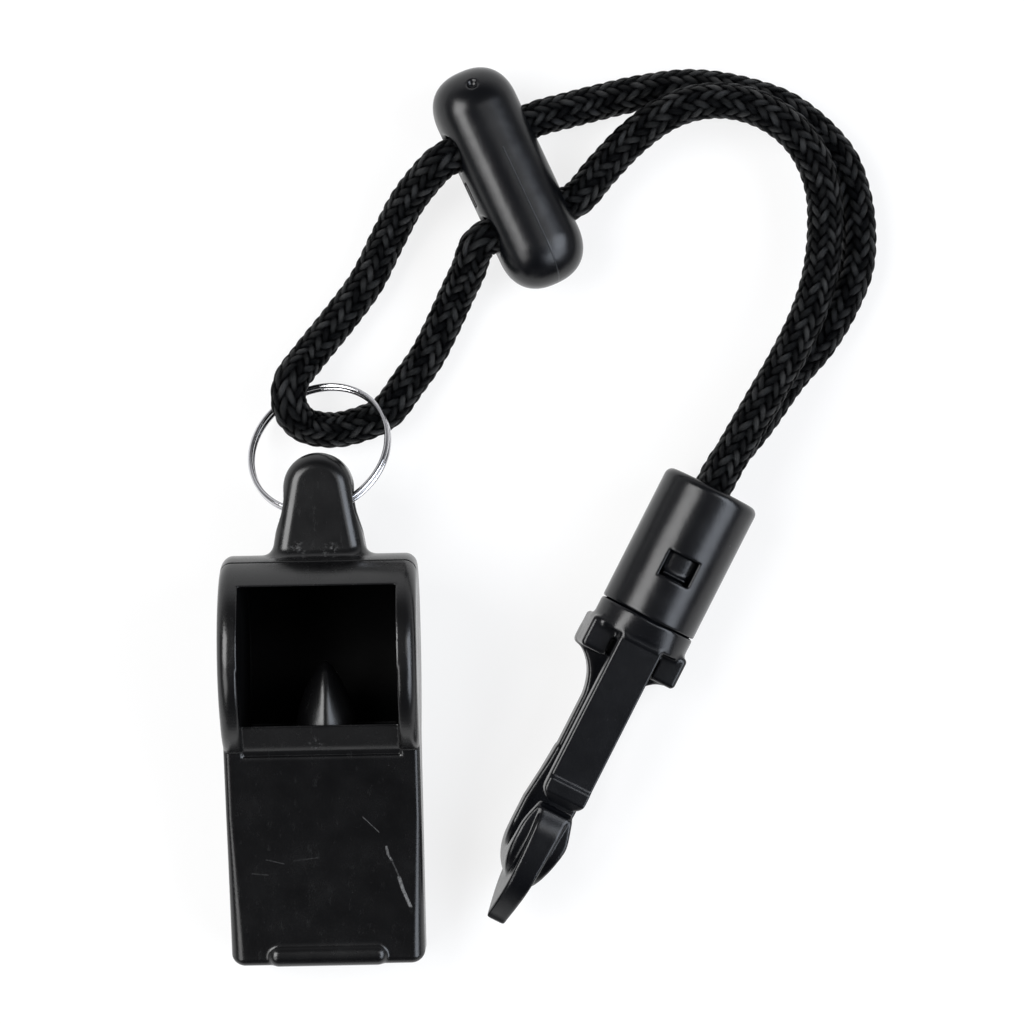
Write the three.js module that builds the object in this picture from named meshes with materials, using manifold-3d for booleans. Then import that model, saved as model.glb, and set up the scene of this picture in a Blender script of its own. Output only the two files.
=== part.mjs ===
// Sports whistle on a short lanyard: a blown plastic whistle in two moulded halves, a steel split ring,
// a braided cord with a sliding bean, and a swivelling snap hook in a plastic cap.
// Units are millimetres. +Z is up from the table that everything lies on, and +Y runs from the mouth end
// of the whistle to its lug. The origin is on the table, under the middle of the whistle and its ring.

import * as THREE from 'three';
import { mergeVertices } from 'three/addons/utils/BufferGeometryUtils.js';
import Module from 'manifold-3d';

// Clearances
const fitGap = 0.3;
const runningGap = 0.35;
const seamGap = 0.25;
const tableGap = 0.05;

// Whistle: the barrel and its walls
const barrelRadius = 10;
const whistleWidth = 19.4;
const barrelWall = 1.7;
const sideWall = 2;
const edgeRound = 0.8;

// Whistle: the mouthpiece, measured from the barrel's centre
const mouthReach = 30.8;
const mouthTopHeight = 7.9;
const mouthOpeningDrop = 0.55;
const mouthOpeningReach = 1.2;
const mouthUnderHeight = 0.9;
const mouthEndRound = 0.9;
const crestHeight = 13.5;
const crestRadius = 0.7;
const crestSetback = 0.9;
const topHollow = 0.6;
const undersideRise = 0.2;
const undersideContactAngle = THREE.MathUtils.degToRad(-145);
const roofWall = 1.35;
const floorWall = 1.5;

// Whistle: the window in the top of the barrel and the ramp in front of it
const windowMouthReach = 6.7;
const windowLugReach = 7;
const rampLength = 3.05;
const rampTopHeight = 15.5;
const rampBottomHeight = 13.1;
const rampThickness = 1.1;

// Whistle: the bars that the teeth hold
const biteBarLength = 11.3;
const biteBarRadius = 1.2;
const biteBarRise = 0.7;
const biteBarSetback = 0.8;

// Whistle: the insert that narrows the windway and splits the air
const insertReach = 24;
const insertNose = 0.5;
const windwayExitGap = 1.3;
const windwayBendHeight = 10.2;
const splitterRoot = 0.7;
const splitterHalfWidth = 3.1;
const splitterHalfHeight = 2.6;
const splitterLength = 7.8;
const splitterHeight = 10.5;

// Whistle: the seam between its two halves, which leaves the lug in the lower one
const seamHeight = 11.4;
const seamSlope = 0.235;

// Whistle: the lug and its cross hole
const lugReach = 20.1;
const lugDomeRadius = 3.45;
const lugRootHalfWidth = 4.75;
const lugRootReach = barrelRadius - 0.3;
const lugThickness = 6.6;
const lugRound = 0.9;
const lugHoleReach = lugReach - 4.95;
const lugHoleHeight = 8.7;
const lugHoleRadius = 1.9;
const lugHoleFlare = 0.7;

// Split ring: two turns of round wire, lying aslant with its far side low
const ringRadius = 7.2;
const ringWireRadius = 0.25;
const ringPitch = 0.92;
const ringCrossover = THREE.MathUtils.degToRad(22);
const ringTilt = THREE.MathUtils.degToRad(33);
const ringHeading = THREE.MathUtils.degToRad(28);
const ringCentre = new THREE.Vector3(-0.04, lugHoleReach + 5.4, 5.45);
const ringStart = THREE.MathUtils.degToRad(200);

// Cord: one braided length, both ends held in the cap
const cordDiameter = 3.7;
const strandGap = 0.3;
const cordSides = 8;
const cordSteps = 80;

// Slider: a bean with two holes for the strands
const sliderLength = 23;
const sliderWidth = 8.5;
const sliderThickness = 8.6;
const sliderRound = 4.1;
const sliderHoleSpacing = 9;
const sliderCentre = new THREE.Vector3(19.6, 47.3, sliderThickness / 2 + 0.2);
const sliderHeading = THREE.MathUtils.degToRad(24);
const sliderRoll = THREE.MathUtils.degToRad(10);
const sliderSlotLength = 2.6;
const sliderSlotWidth = 1;
const sliderSlotDepth = 3;

// Cap of the hook: a sleeve with two square windows, axis along the hook
const capRadius = 5.05;
const capLength = 14.55;
const capRimRound = 0.8;
const capWindowWidth = 3.2;
const capWindowLength = 2.7;
const capWindowDistance = 8.85;
const capMouth = new THREE.Vector2(39.51, 15.85);
const capRoll = THREE.MathUtils.degToRad(5);
const hookHeading = THREE.MathUtils.degToRad(-28);

// Plug inside the cap: holds the cord's ends and carries the hook's stem
const plugTopDistance = 7.3;
const plugBottomSetback = 0.5;
const plugBoreDepth = 4.4;
const plugNeckLength = 1.8;
const barbWidth = 2.6;
const barbLength = 0.8;

// Hook: collar, shoulder and stem
const hookRoll = THREE.MathUtils.degToRad(6.5);
const collarLength = 2.3;
const stemRadius = 1.8;
const stemHeadRadius = 2.8;
const stemHeadLength = 1.9;
const shoulderHalfWidth = 5.25;
const shoulderLength = 2.8;
const shoulderBack = -3.8;
const shoulderFront = 2.6;
const shoulderRelief = 1.2;
const seatLength = 0.9;

// Hook: spine, bend and nose, in the hook's own side view
const spineHalfWidth = 1.9;
const spineBack = -4.3;
const spineThickness = 2.1;
const flareHalfWidth = 4.9;
const flareLength = 4.4;
const throatHeight = 4.9;
const bendDistance = 38.8;
const flangeHalfWidth = 2.55;
const flangeOverlap = 8.5;
const hookEdge = 0.4;
const flangeBottomReach = 5.6;
const noseThickness = 1.4;
const keelHalfWidth = 1.8;
const keelTipHalfWidth = 1.1;
const keelChamfer = 0.5;
const keelReach = 9.5;
const keelTipHeight = 0.4;
const keelFrontProud = 0.8;

// Gate: the sprung tongue that closes the hook
const gateHalfWidth = 2.35;
const gateThickness = 1.7;
const gateRootDistance = 16.95;
const gateEndDistance = 35.3;
const gatePadLength = 2.1;
const gatePadRise = 0.25;
const gateCornerRadius = 1.4;

const wasm = await Module();
wasm.setup();

// A closed mesh as a solid for joining and cutting
function toSolid(geometry) {
  const bare = geometry.clone();
  bare.deleteAttribute('normal');
  bare.deleteAttribute('uv');
  const merged = mergeVertices(bare, 1e-4);
  return new wasm.Manifold(new wasm.Mesh({
    numProp: 3,
    vertProperties: merged.attributes.position.array,
    triVerts: new Uint32Array(merged.index.array),
  }));
}

// A joined or cut solid back as geometry
function toGeometry(solid) {
  const mesh = solid.getMesh();
  const geometry = new THREE.BufferGeometry();
  geometry.setAttribute('position', new THREE.BufferAttribute(mesh.vertProperties, 3));
  geometry.setIndex(new THREE.BufferAttribute(mesh.triVerts, 1));
  geometry.computeVertexNormals();
  return geometry;
}

function point(x, y) {
  return new THREE.Vector2(x, y);
}

// Points of a circular or elliptical arc, ends included
function arc(centreX, centreY, radiusX, radiusY, from, to, steps) {
  const points = [];
  for (let i = 0; i <= steps; i += 1) {
    const angle = from + ((to - from) * i) / steps;
    points.push(point(centreX + radiusX * Math.cos(angle), centreY + radiusY * Math.sin(angle)));
  }
  return points;
}

// Points of a quadratic curve, its start left out
function curve(start, control, end, steps) {
  return new THREE.QuadraticBezierCurve(start, control, end).getPoints(steps).slice(1);
}

// An outline pushed out along its own Z, with rounded or chamfered edges
function extrude(outline, depth, edge, edgeSteps) {
  const geometry = new THREE.ExtrudeGeometry(new THREE.Shape(outline), {
    depth: depth - 2 * edge,
    bevelEnabled: edge > 0,
    bevelThickness: edge,
    bevelSize: edge,
    bevelOffset: -edge,
    bevelSegments: edgeSteps,
  });
  geometry.translate(0, 0, edge - depth / 2);
  return geometry;
}

const alongX = new THREE.Vector3(1, 0, 0);
const alongY = new THREE.Vector3(0, 1, 0);
const alongZ = new THREE.Vector3(0, 0, 1);

// A side view, in Y and Z, made as wide as asked and centred on X
function fromSide(outline, width, edge = 0, edgeSteps = 3) {
  const geometry = extrude(outline, width, edge, edgeSteps);
  geometry.applyMatrix4(new THREE.Matrix4().makeBasis(alongY, alongZ, alongX));
  return toSolid(geometry);
}

// A top view, in X and Y, made as deep as asked between two heights
function fromTop(outline, low, high, edge = 0, edgeSteps = 3) {
  const geometry = extrude(outline, high - low, edge, edgeSteps);
  geometry.translate(0, 0, (low + high) / 2);
  return toSolid(geometry);
}

function box(lowX, highX, lowY, highY, lowZ, highZ) {
  const geometry = new THREE.BoxGeometry(highX - lowX, highY - lowY, highZ - lowZ);
  geometry.translate((lowX + highX) / 2, (lowY + highY) / 2, (lowZ + highZ) / 2);
  return toSolid(geometry);
}

// A closed profile in radius and height, turned round the Y axis
function turned(profile, segments) {
  return toSolid(new THREE.LatheGeometry(profile, segments));
}

function mirrored(outline) {
  return outline.map((corner) => point(-corner.x, corner.y)).reverse();
}

function named(name, geometry, colour, roughness, metalness) {
  const material = new THREE.MeshStandardMaterial({ color: colour, roughness, metalness });
  const mesh = new THREE.Mesh(geometry, material);
  mesh.name = name;
  return mesh;
}

// Heights along the mouthpiece
const mouthEnd = -mouthReach;
const tipBack = mouthEnd + mouthEndRound;

function undersideAt(y) {
  return mouthUnderHeight + undersideRise * (y - tipBack);
}

// The whole outer side view: barrel, crest, hollow top, blunt end and underside
function whistleOutline() {
  const crestAngle = Math.PI - Math.asin((crestHeight - barrelRadius) / barrelRadius);
  const barrel = arc(0, barrelRadius, barrelRadius, barrelRadius, undersideContactAngle, crestAngle, 58);
  const contact = barrel[0];
  const crest = barrel[barrel.length - 1];
  const tipTop = point(tipBack, mouthTopHeight);
  const hollow = point((crest.x + tipTop.x) / 2, (crest.y + tipTop.y) / 2 - topHollow);
  const top = curve(crest, hollow, tipTop, 8);
  const upperRound = arc(tipBack, mouthTopHeight - mouthEndRound, mouthEndRound, mouthEndRound,
    Math.PI / 2, Math.PI, 4).slice(1);
  const lowerRound = arc(tipBack, mouthUnderHeight + mouthEndRound, mouthEndRound, mouthEndRound,
    Math.PI, Math.PI * 1.5, 4);
  const filletStart = point(contact.x - 4, undersideAt(contact.x - 4));
  const corner = point(contact.x - mouthEndRound / 2, undersideAt(contact.x));
  const fillet = curve(filletStart, corner, contact, 5).slice(0, -1);
  return [...barrel, ...top, ...upperRound, ...lowerRound, filletStart, ...fillet];
}

// The hollow of the mouthpiece in side view, from beyond the mouth end to the window
const roofBendY = -(windowMouthReach + rampLength + 1);
const roofMouth = point(mouthEnd - mouthOpeningReach, mouthTopHeight - roofWall - mouthOpeningDrop);
const roofBend = point(roofBendY, crestHeight - roofWall - 0.65);
const roofExit = point(-windowMouthReach, rampTopHeight - rampThickness);

function floorAt(y) {
  return undersideAt(y) + floorWall;
}

function mouthHollowOutline() {
  return [
    point(roofMouth.x, floorAt(roofMouth.x)),
    point(roofExit.x, floorAt(roofExit.x)),
    roofExit,
    roofBend,
    roofMouth,
  ];
}

function lugSolid() {
  const domeCentre = lugReach - lugDomeRadius;
  const dome = arc(0, domeCentre, lugDomeRadius, lugDomeRadius, 0.18, Math.PI - 0.18, 12);
  const outline = [point(-lugRootHalfWidth, lugRootReach), point(-lugRootHalfWidth, barrelRadius / 2),
    point(lugRootHalfWidth, barrelRadius / 2), point(lugRootHalfWidth, lugRootReach), ...dome];
  const low = lugHoleHeight - lugThickness / 2;
  return fromTop(outline, low, low + lugThickness, lugRound);
}

// The cross hole, flared at both faces
function lugHoleSolid() {
  const halfLength = lugRootHalfWidth + 1;
  const flareStart = lugDomeRadius - lugHoleFlare;
  const flareRadius = lugHoleRadius + (halfLength - flareStart) * lugHoleFlare;
  const profile = [point(0, -halfLength), point(flareRadius, -halfLength), point(lugHoleRadius, -flareStart),
    point(lugHoleRadius, flareStart), point(flareRadius, halfLength), point(0, halfLength)];
  const geometry = new THREE.LatheGeometry(profile, 24);
  geometry.rotateZ(Math.PI / 2);
  geometry.translate(0, lugHoleReach, lugHoleHeight);
  return toSolid(geometry);
}

// A bar with round ends, lying across the whistle
function crossBar(length, radius, y, z) {
  const geometry = new THREE.CapsuleGeometry(radius, length - 2 * radius, 4, 12);
  geometry.rotateZ(Math.PI / 2);
  geometry.translate(0, y, z);
  return toSolid(geometry);
}

function seamPrism(side) {
  const far = 60;
  const shift = (side * seamGap) / 2;
  const low = point(-far, seamHeight + shift - seamSlope * far);
  const high = point(far, seamHeight + shift + seamSlope * far);
  const outline = side > 0 ? [low, high, point(far, far), point(-far, far)]
    : [point(-far, -far), point(far, -far), high, low];
  return fromSide(outline, far);
}

function whistleShells() {
  const innerWidth = whistleWidth - 2 * sideWall;
  const chamberRadius = barrelRadius - barrelWall;
  const chamber = fromSide(arc(0, barrelRadius, chamberRadius, chamberRadius, 0, Math.PI * 2, 48).slice(1),
    innerWidth);
  const above = barrelRadius * 3;
  const opening = fromSide([point(-windowMouthReach, barrelRadius), point(windowLugReach, barrelRadius),
    point(windowLugReach, above), point(-windowMouthReach, above)], innerWidth);
  const rampFoot = -(windowMouthReach + rampLength);
  const ramp = fromSide([point(rampFoot, rampBottomHeight), point(-windowMouthReach, rampTopHeight),
    point(1 - windowMouthReach, above), point(rampFoot, above)], innerWidth);
  const barY = mouthEnd + biteBarSetback;
  const upperBarHeight = mouthTopHeight - biteBarRadius + biteBarRise;
  const crestY = rampFoot - crestSetback + crestRadius / 2;
  const solid = fromSide(whistleOutline(), whistleWidth, edgeRound)
    .add(lugSolid())
    .add(crossBar(whistleWidth - edgeRound, crestRadius, crestY, crestHeight - crestRadius + 0.2))
    .add(crossBar(biteBarLength, biteBarRadius, barY, upperBarHeight))
    .add(crossBar(biteBarLength, biteBarRadius, barY, biteBarRadius))
    .subtract(chamber)
    .subtract(opening)
    .subtract(ramp)
    .subtract(fromSide(mouthHollowOutline(), innerWidth))
    .subtract(lugHoleSolid());
  return {
    upper: toGeometry(solid.intersect(seamPrism(1))),
    lower: toGeometry(solid.intersect(seamPrism(-1))),
  };
}

// The insert: a wedge that narrows the windway, a wall of the chamber, and the rounded splitter
function windwayInsert() {
  const width = whistleWidth - 2 * sideWall - 2 * fitGap;
  const chamberRadius = barrelRadius - barrelWall;
  const exitHeight = roofExit.y - windwayExitGap - splitterRoot;
  const exitAngle = Math.PI - Math.asin((exitHeight - barrelRadius) / chamberRadius);
  const footAngle = Math.PI + Math.asin((barrelRadius - floorAt(-chamberRadius) - fitGap) / chamberRadius);
  const rear = arc(0, barrelRadius, chamberRadius, chamberRadius, exitAngle, footAngle, 8);
  const front = floorAt(-insertReach) + fitGap;
  const wedge = fromSide([point(roofBend.x, windwayBendHeight), point(-insertReach, front + insertNose),
    point(-insertReach, front), ...rear.reverse()], width);
  const splitter = new THREE.SphereGeometry(1, 20, 12);
  splitter.scale(splitterHalfWidth, splitterLength, splitterHalfHeight);
  splitter.translate(0, -chamberRadius, splitterHeight);
  const root = -chamberRadius;
  const inner = root + splitterRoot;
  const room = fromSide([point(root - splitterRoot, 0), point(0, 0), point(0, splitterHeight * 2),
    point(inner, splitterHeight * 2), point(inner, exitHeight),
    point(root - splitterRoot, exitHeight - 1)], width);
  return toGeometry(wedge.add(toSolid(splitter).intersect(room)));
}

// Two turns of wire side by side, joined by a short crossover where only one of them passes
class RingPath extends THREE.Curve {
  getPoint(t) {
    const span = 4 * Math.PI - 2 * ringCrossover;
    const angle = ringCrossover + t * span;
    const across = THREE.MathUtils.clamp((angle - 2 * Math.PI) / ringCrossover, -1, 1);
    const turn = angle + ringStart;
    return new THREE.Vector3(ringRadius * Math.cos(turn), ringRadius * Math.sin(turn),
      (ringPitch / 2) * Math.sin((across * Math.PI) / 2));
  }
}

function circle(radius, sides) {
  return new THREE.Shape(arc(0, 0, radius, radius, 0, Math.PI * 2, sides).slice(1));
}

function ringGeometry() {
  const path = new RingPath();
  return new THREE.ExtrudeGeometry(circle(ringWireRadius, 6), { steps: 48, extrudePath: path });
}

// Least clear gap between the two turns of the ring, measured on points along the wire
function ringLeastGap() {
  const points = new RingPath().getPoints(360);
  let least = Infinity;
  for (let i = 0; i < points.length; i += 1) {
    for (let j = i + 30; j < points.length; j += 1) {
      least = Math.min(least, points[i].distanceTo(points[j]) - 2 * ringWireRadius);
    }
  }
  return least;
}

// The direction in which the cord passes through the slider, and the slider's long direction
const sliderTurn = new THREE.Euler(0, sliderRoll, sliderHeading, 'ZYX');
const throughDirection = alongX.clone().applyEuler(sliderTurn);
const longDirection = alongY.clone().applyEuler(sliderTurn);

// Points where a strand passes through one hole, from the right side to the left
function strandThrough(side) {
  const hole = sliderCentre.clone().addScaledVector(longDirection, (side * sliderHoleSpacing) / 2);
  const half = sliderWidth / 2;
  return [half + 1.2, half / 2, -half / 2, -half - 1.2]
    .map((distance) => hole.clone().addScaledVector(throughDirection, distance));
}

// Points where a strand lies inside the cap and leaves its mouth
function strandInCap(side) {
  const height = capRadius + tableGap + (side * (cordDiameter + strandGap)) / 2;
  const outward = point(-Math.sin(hookHeading), Math.cos(hookHeading));
  return [fitGap - plugTopDistance + 0.3, -2.5, 2.4]
    .map((distance) => new THREE.Vector3(capMouth.x + outward.x * distance,
      capMouth.y + outward.y * distance, height));
}

// The cord's route, from the strand that lies on the table to the one that lies over it
function cordRoute() {
  const low = cordDiameter / 2 + 2 * tableGap;
  const over = low + cordDiameter + strandGap;
  const lower = [[44.4, 22.6, 2.4], [47.5, 26.8, low], [50.9, 30.7, low], [53.2, 34.5, low],
    [54.6, 38, low], [54.9, 41.8, low], [54.4, 45.6, low], [53, 49.3, low], [48.4, 53.8, low],
    [43.7, 55.7, low], [38.3, 56.6, low], [33, 56.1, low], [28.7, 55.2, 2.1], [25.3, 54.3, 3]];
  const loop = [[11, 47.5, 4.7], [9.1, 45.2, 3.4], [7.1, 41.7, 2.1], [4.9, 37.5, low], [2, 33.7, low],
    [-1.2, 29.8, 2.7], [-2.9, 27.2, 4.35], [-3, 24.9, 4.3], [-1.7, 23.1, 2.8], [1.2, 22.5, 2],
    [4.2, 23.1, low], [6.6, 24.2, low], [9, 27.2, low], [10.9, 29.8, low], [12.5, 32.8, low],
    [13.9, 35.7, 2.2], [15.2, 38.2, 3.6]];
  const upper = [[28.9, 48.2, 3.3], [32.2, 51.4, 4.4], [35.7, 53.7, 5.6], [39.3, 54.7, over],
    [43.2, 54.4, over], [46.8, 52.7, over], [49.5, 49.9, 5.6], [51.1, 45.9, 5], [51.3, 41.6, 4.6],
    [50.7, 37.2, 4.7], [49.3, 33, 5.3], [47.1, 28.7, over], [44.5, 24.4, 6.6]];
  const chosen = (list) => list.map((place) => new THREE.Vector3(...place));
  return [...strandInCap(-1), ...chosen(lower), ...strandThrough(1), ...chosen(loop),
    ...strandThrough(-1).reverse(), ...chosen(upper), ...strandInCap(1).reverse()];
}

function cordGeometry() {
  const path = new THREE.CatmullRomCurve3(cordRoute(), false, 'centripetal');
  return new THREE.ExtrudeGeometry(circle(cordDiameter / 2, cordSides), {
    steps: cordSteps,
    extrudePath: path,
  });
}

// The slider: a pill outline seen along the cord, with heavy rounding, two holes and a middle slot
function sliderGeometry() {
  const half = sliderThickness / 2;
  const straight = sliderLength / 2 - half;
  const pill = [...arc(straight, 0, half, half, -Math.PI / 2, Math.PI / 2, 14),
    ...arc(-straight, 0, half, half, Math.PI / 2, Math.PI * 1.5, 14)];
  let body = fromSide(pill, sliderWidth, sliderRound, 7);
  const holeRadius = cordDiameter / 2 + fitGap;
  for (const side of [-1, 1]) {
    const hole = fromSide(arc((side * sliderHoleSpacing) / 2, 0, holeRadius, holeRadius, 0, Math.PI * 2, 20)
      .slice(1), sliderWidth * 2);
    body = body.subtract(hole);
    const face = (side * sliderWidth) / 2;
    const inner = face - side * sliderSlotDepth;
    body = body.subtract(box(Math.min(face, inner), Math.max(face, inner), -sliderSlotLength / 2,
      sliderSlotLength / 2, -sliderSlotWidth / 2, sliderSlotWidth / 2));
  }
  return toGeometry(body);
}

const capBoreRadius = cordDiameter + strandGap / 2 + 0.25;

function capGeometry() {
  const rim = arc(capRadius - capRimRound, -capRimRound, capRimRound, capRimRound, 0, Math.PI / 2, 4);
  const profile = [point(capBoreRadius, -capLength), point(capRadius - 0.2, -capLength),
    point(capRadius, 0.2 - capLength), ...rim, point(capBoreRadius + 0.3, 0), point(capBoreRadius, -0.3),
    point(capBoreRadius, -capLength)];
  const halfWidth = capWindowWidth / 2;
  const halfLength = capWindowLength / 2;
  const windows = box(-halfWidth, halfWidth, -capWindowDistance - halfLength,
    halfLength - capWindowDistance, -2 * capRadius, 2 * capRadius);
  return toGeometry(turned(profile, 48).subtract(windows));
}

// The plug: a ribbed cylinder whose barbs catch in the cap's windows, bored from below for the stem
const plugBottom = capLength - plugBottomSetback;
const boreTop = plugBottom - plugBoreDepth;
const neckTop = plugBottom - plugNeckLength;

function plugGeometry() {
  const radius = capBoreRadius - 0.2;
  const headRoom = stemHeadRadius + runningGap;
  const neckRoom = stemRadius + runningGap;
  const profile = [point(0, -boreTop), point(headRoom, -boreTop), point(headRoom, -neckTop),
    point(neckRoom, -neckTop), point(neckRoom, -plugBottom), point(radius, -plugBottom),
    point(radius, -plugTopDistance - 0.4), point(radius - 0.4, -plugTopDistance),
    point(0, -plugTopDistance)];
  const windowFoot = -capWindowDistance - capWindowLength / 2 + fitGap;
  const barbs = box(-barbWidth / 2, barbWidth / 2, windowFoot, windowFoot + barbLength,
    -capRadius + 0.3, capRadius - 0.3);
  const hollow = box(-barbWidth, barbWidth, windowFoot - 1, windowFoot + barbLength + 1,
    -radius + 0.8, radius - 0.8);
  return toGeometry(turned(profile, 32).add(barbs.subtract(hollow)));
}

// The hook in its own frame: Y runs back along the hook to the cap's mouth, Z is towards the gate
const collarTop = capLength + fitGap;
const collarBottom = collarTop + collarLength;
const shoulderBottom = collarBottom + shoulderLength;
const spineFront = spineBack + spineThickness;
const noseBack = spineFront + throatHeight;
const noseFront = noseBack + noseThickness;
const throatRadius = throatHeight / 2;
const throatCentre = spineFront + throatRadius;
const gateBack = noseBack;
const gateFront = gateBack + gateThickness;
const gateRootRadius = gateThickness / 2;
const noseTipDistance = gateEndDistance + runningGap;

function stemSolid() {
  const headBottom = neckTop - runningGap;
  const headTop = headBottom - stemHeadLength;
  const profile = [point(0, -collarTop - 0.5), point(stemRadius, -collarTop - 0.5),
    point(stemRadius, -headBottom), point(stemHeadRadius, -headBottom),
    point(stemHeadRadius - 0.5, -headTop), point(0, -headTop)];
  return turned(profile, 24);
}

function collarSolid() {
  const profile = [point(0, -collarBottom), point(capRadius, -collarBottom),
    point(capRadius, 0.2 - collarTop), point(capRadius - 0.2, -collarTop), point(0, -collarTop)];
  return turned(profile, 48);
}

function shoulderSolid() {
  const half = shoulderHalfWidth;
  const outline = [point(half, -shoulderBottom), point(half, 0.6 - collarBottom),
    point(capRadius - 0.4, 0.8 - collarBottom), point(0.4 - capRadius, 0.8 - collarBottom),
    point(-half, 0.6 - collarBottom), point(-half, -shoulderBottom)];
  return fromTop(outline, shoulderBack, shoulderFront, 0.5, 2);
}

// The spine in top view, drawn in from the shoulder by a hollow curve on each side
function spineSolid() {
  const flareEnd = -shoulderBottom - flareLength;
  const flareBend = point(spineHalfWidth + 0.3, -shoulderBottom - flareLength / 4);
  const flare = curve(point(flareHalfWidth, -shoulderBottom), flareBend, point(spineHalfWidth, flareEnd), 7);
  const right = [point(spineHalfWidth, flangeOverlap - bendDistance), point(spineHalfWidth, flareEnd),
    ...flare.slice(0, -1).reverse(), point(flareHalfWidth, -shoulderBottom),
    point(flareHalfWidth, 1 - shoulderBottom)];
  const outline = [...right, ...mirrored(right)];
  return fromTop(outline, spineBack, spineFront, hookEdge, 2);
}

// The bend in side view: the inner curve is the throat, the outer one a deeper ellipse
function flangeSolid() {
  const outerHeight = (noseFront - spineBack) / 2;
  const outerCentre = (noseFront + spineBack) / 2;
  const inner = arc(-bendDistance, throatCentre, throatRadius, throatRadius, Math.PI * 1.5, Math.PI / 2, 12);
  const outer = arc(-bendDistance, outerCentre, flangeBottomReach, outerHeight,
    Math.PI / 2, Math.PI * 1.5, 16);
  const start = flangeOverlap - bendDistance;
  const side = [point(start, spineBack), point(start, spineFront), ...inner,
    point(-noseTipDistance, noseBack), point(-noseTipDistance, noseFront - hookEdge),
    point(-noseTipDistance - hookEdge, noseFront), ...outer];
  const roundCentre = -bendDistance - flangeBottomReach / 4;
  const roundEnd = arc(0, roundCentre, flangeHalfWidth, flangeBottomReach * 0.8, Math.PI, Math.PI * 2, 16);
  const full = throatRadius - bendDistance;
  const plan = [point(flangeHalfWidth, full), point(spineHalfWidth, start), point(-spineHalfWidth, start),
    point(-flangeHalfWidth, full), ...roundEnd];
  return fromSide(side, flangeHalfWidth * 2, hookEdge, 2)
    .intersect(fromTop(plan, -2 * capRadius, 2 * capRadius));
}

// The keel stands out of the bend, deepest at the bottom and in front of the nose
function keelSolid() {
  const bend = -bendDistance;
  const quarter = bend - keelReach * 0.56;
  const rear = new THREE.SplineCurve([point(bend + 2, spineBack + 0.6), point(quarter, spineBack * 0.75),
    point(bend - keelReach, keelTipHeight), point(quarter, noseFront + 0.3),
    point(bend, noseFront + keelFrontProud), point(-noseTipDistance - 0.6, noseFront - 0.3)]);
  const outline = rear.getPoints(26).reverse();
  const room = throatRadius + 0.3;
  const throat = [...arc(bend, throatCentre, room, room, Math.PI / 2, Math.PI * 1.5, 12),
    point(bend + flangeOverlap, throatCentre - room), point(bend + flangeOverlap, throatCentre + room)];
  const right = [point(keelTipHalfWidth, bend - keelReach - 1), point(keelHalfWidth, bend),
    point(keelHalfWidth, 0)];
  return fromSide(outline, keelHalfWidth * 2, keelChamfer, 1)
    .intersect(fromTop([...right, ...mirrored(right)], -2 * capRadius, 2 * capRadius))
    .subtract(fromSide(throat, capRadius));
}

function hookGeometry() {
  const slotHalf = gateHalfWidth + fitGap;
  const slotTop = -gateRootDistance + gateRootRadius + fitGap;
  const slot = box(-slotHalf, slotHalf, -shoulderBottom - 1, slotTop, gateBack - fitGap, 2 * capRadius);
  const seatEnd = -collarBottom - seatLength;
  const relief = box(-slotHalf, slotHalf, -shoulderBottom - 1, seatEnd, shoulderFront - shoulderRelief,
    2 * capRadius);
  const seat = box(-gateHalfWidth, gateHalfWidth, seatEnd, 0.5 - collarBottom, 0, gateBack - fitGap);
  const solid = collarSolid()
    .add(stemSolid())
    .add(shoulderSolid())
    .add(seat)
    .add(spineSolid())
    .add(flangeSolid())
    .add(keelSolid())
    .subtract(slot)
    .subtract(relief);
  return toGeometry(solid);
}

// The gate: a strap with a round root in the collar's slot and a raised pad at its end
function gateGeometry() {
  const corner = gateCornerRadius;
  const end = -gateEndDistance;
  const plan = [point(gateHalfWidth, 0), point(-gateHalfWidth, 0),
    ...arc(corner - gateHalfWidth, end + corner, corner, corner, Math.PI, Math.PI * 1.5, 5),
    ...arc(gateHalfWidth - corner, end + corner, corner, corner, Math.PI * 1.5, Math.PI * 2, 5)];
  const root = arc(-gateRootDistance, gateBack + gateRootRadius, gateRootRadius, gateRootRadius,
    -Math.PI / 2, Math.PI / 2, 8);
  const padStart = end + gatePadLength;
  const side = [...root, point(padStart + 0.4, gateFront), point(padStart, gateFront + gatePadRise),
    point(end + 0.4, gateFront + gatePadRise), point(end, gateFront - 0.3), point(end, gateBack + 0.3),
    point(end + 0.3, gateBack)];
  return toGeometry(fromSide(side, gateHalfWidth * 2, 0.25, 2)
    .intersect(fromTop(plan, -2 * capRadius, 2 * capRadius)));
}

const plasticBlack = 0x101113;
const satinBlack = 0x15171b;
const fabricBlack = 0x0e0f12;
const steelGrey = 0xc9cbce;

const lying = new THREE.Group();
const whistleAndRing = new THREE.Group();
const shells = whistleShells();
whistleAndRing.add(named('upper_shell', shells.upper, plasticBlack, 0.22, 0));
whistleAndRing.add(named('lower_shell', shells.lower, plasticBlack, 0.22, 0));
whistleAndRing.add(named('windway_insert', windwayInsert(), plasticBlack, 0.3, 0));

const ring = named('split_ring', ringGeometry(), steelGrey, 0.2, 1);
ring.position.copy(ringCentre);
ring.rotation.set(-ringTilt, 0, ringHeading, 'ZYX');
whistleAndRing.add(ring);

const footprint = new THREE.Box3().setFromObject(whistleAndRing, true);
lying.position.y = -(footprint.min.y + footprint.max.y) / 2;
lying.add(whistleAndRing);

lying.add(named('cord', cordGeometry(), fabricBlack, 0.9, 0));

const slider = named('cord_slider', sliderGeometry(), satinBlack, 0.45, 0);
slider.position.copy(sliderCentre);
slider.rotation.copy(sliderTurn);
lying.add(slider);

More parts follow.
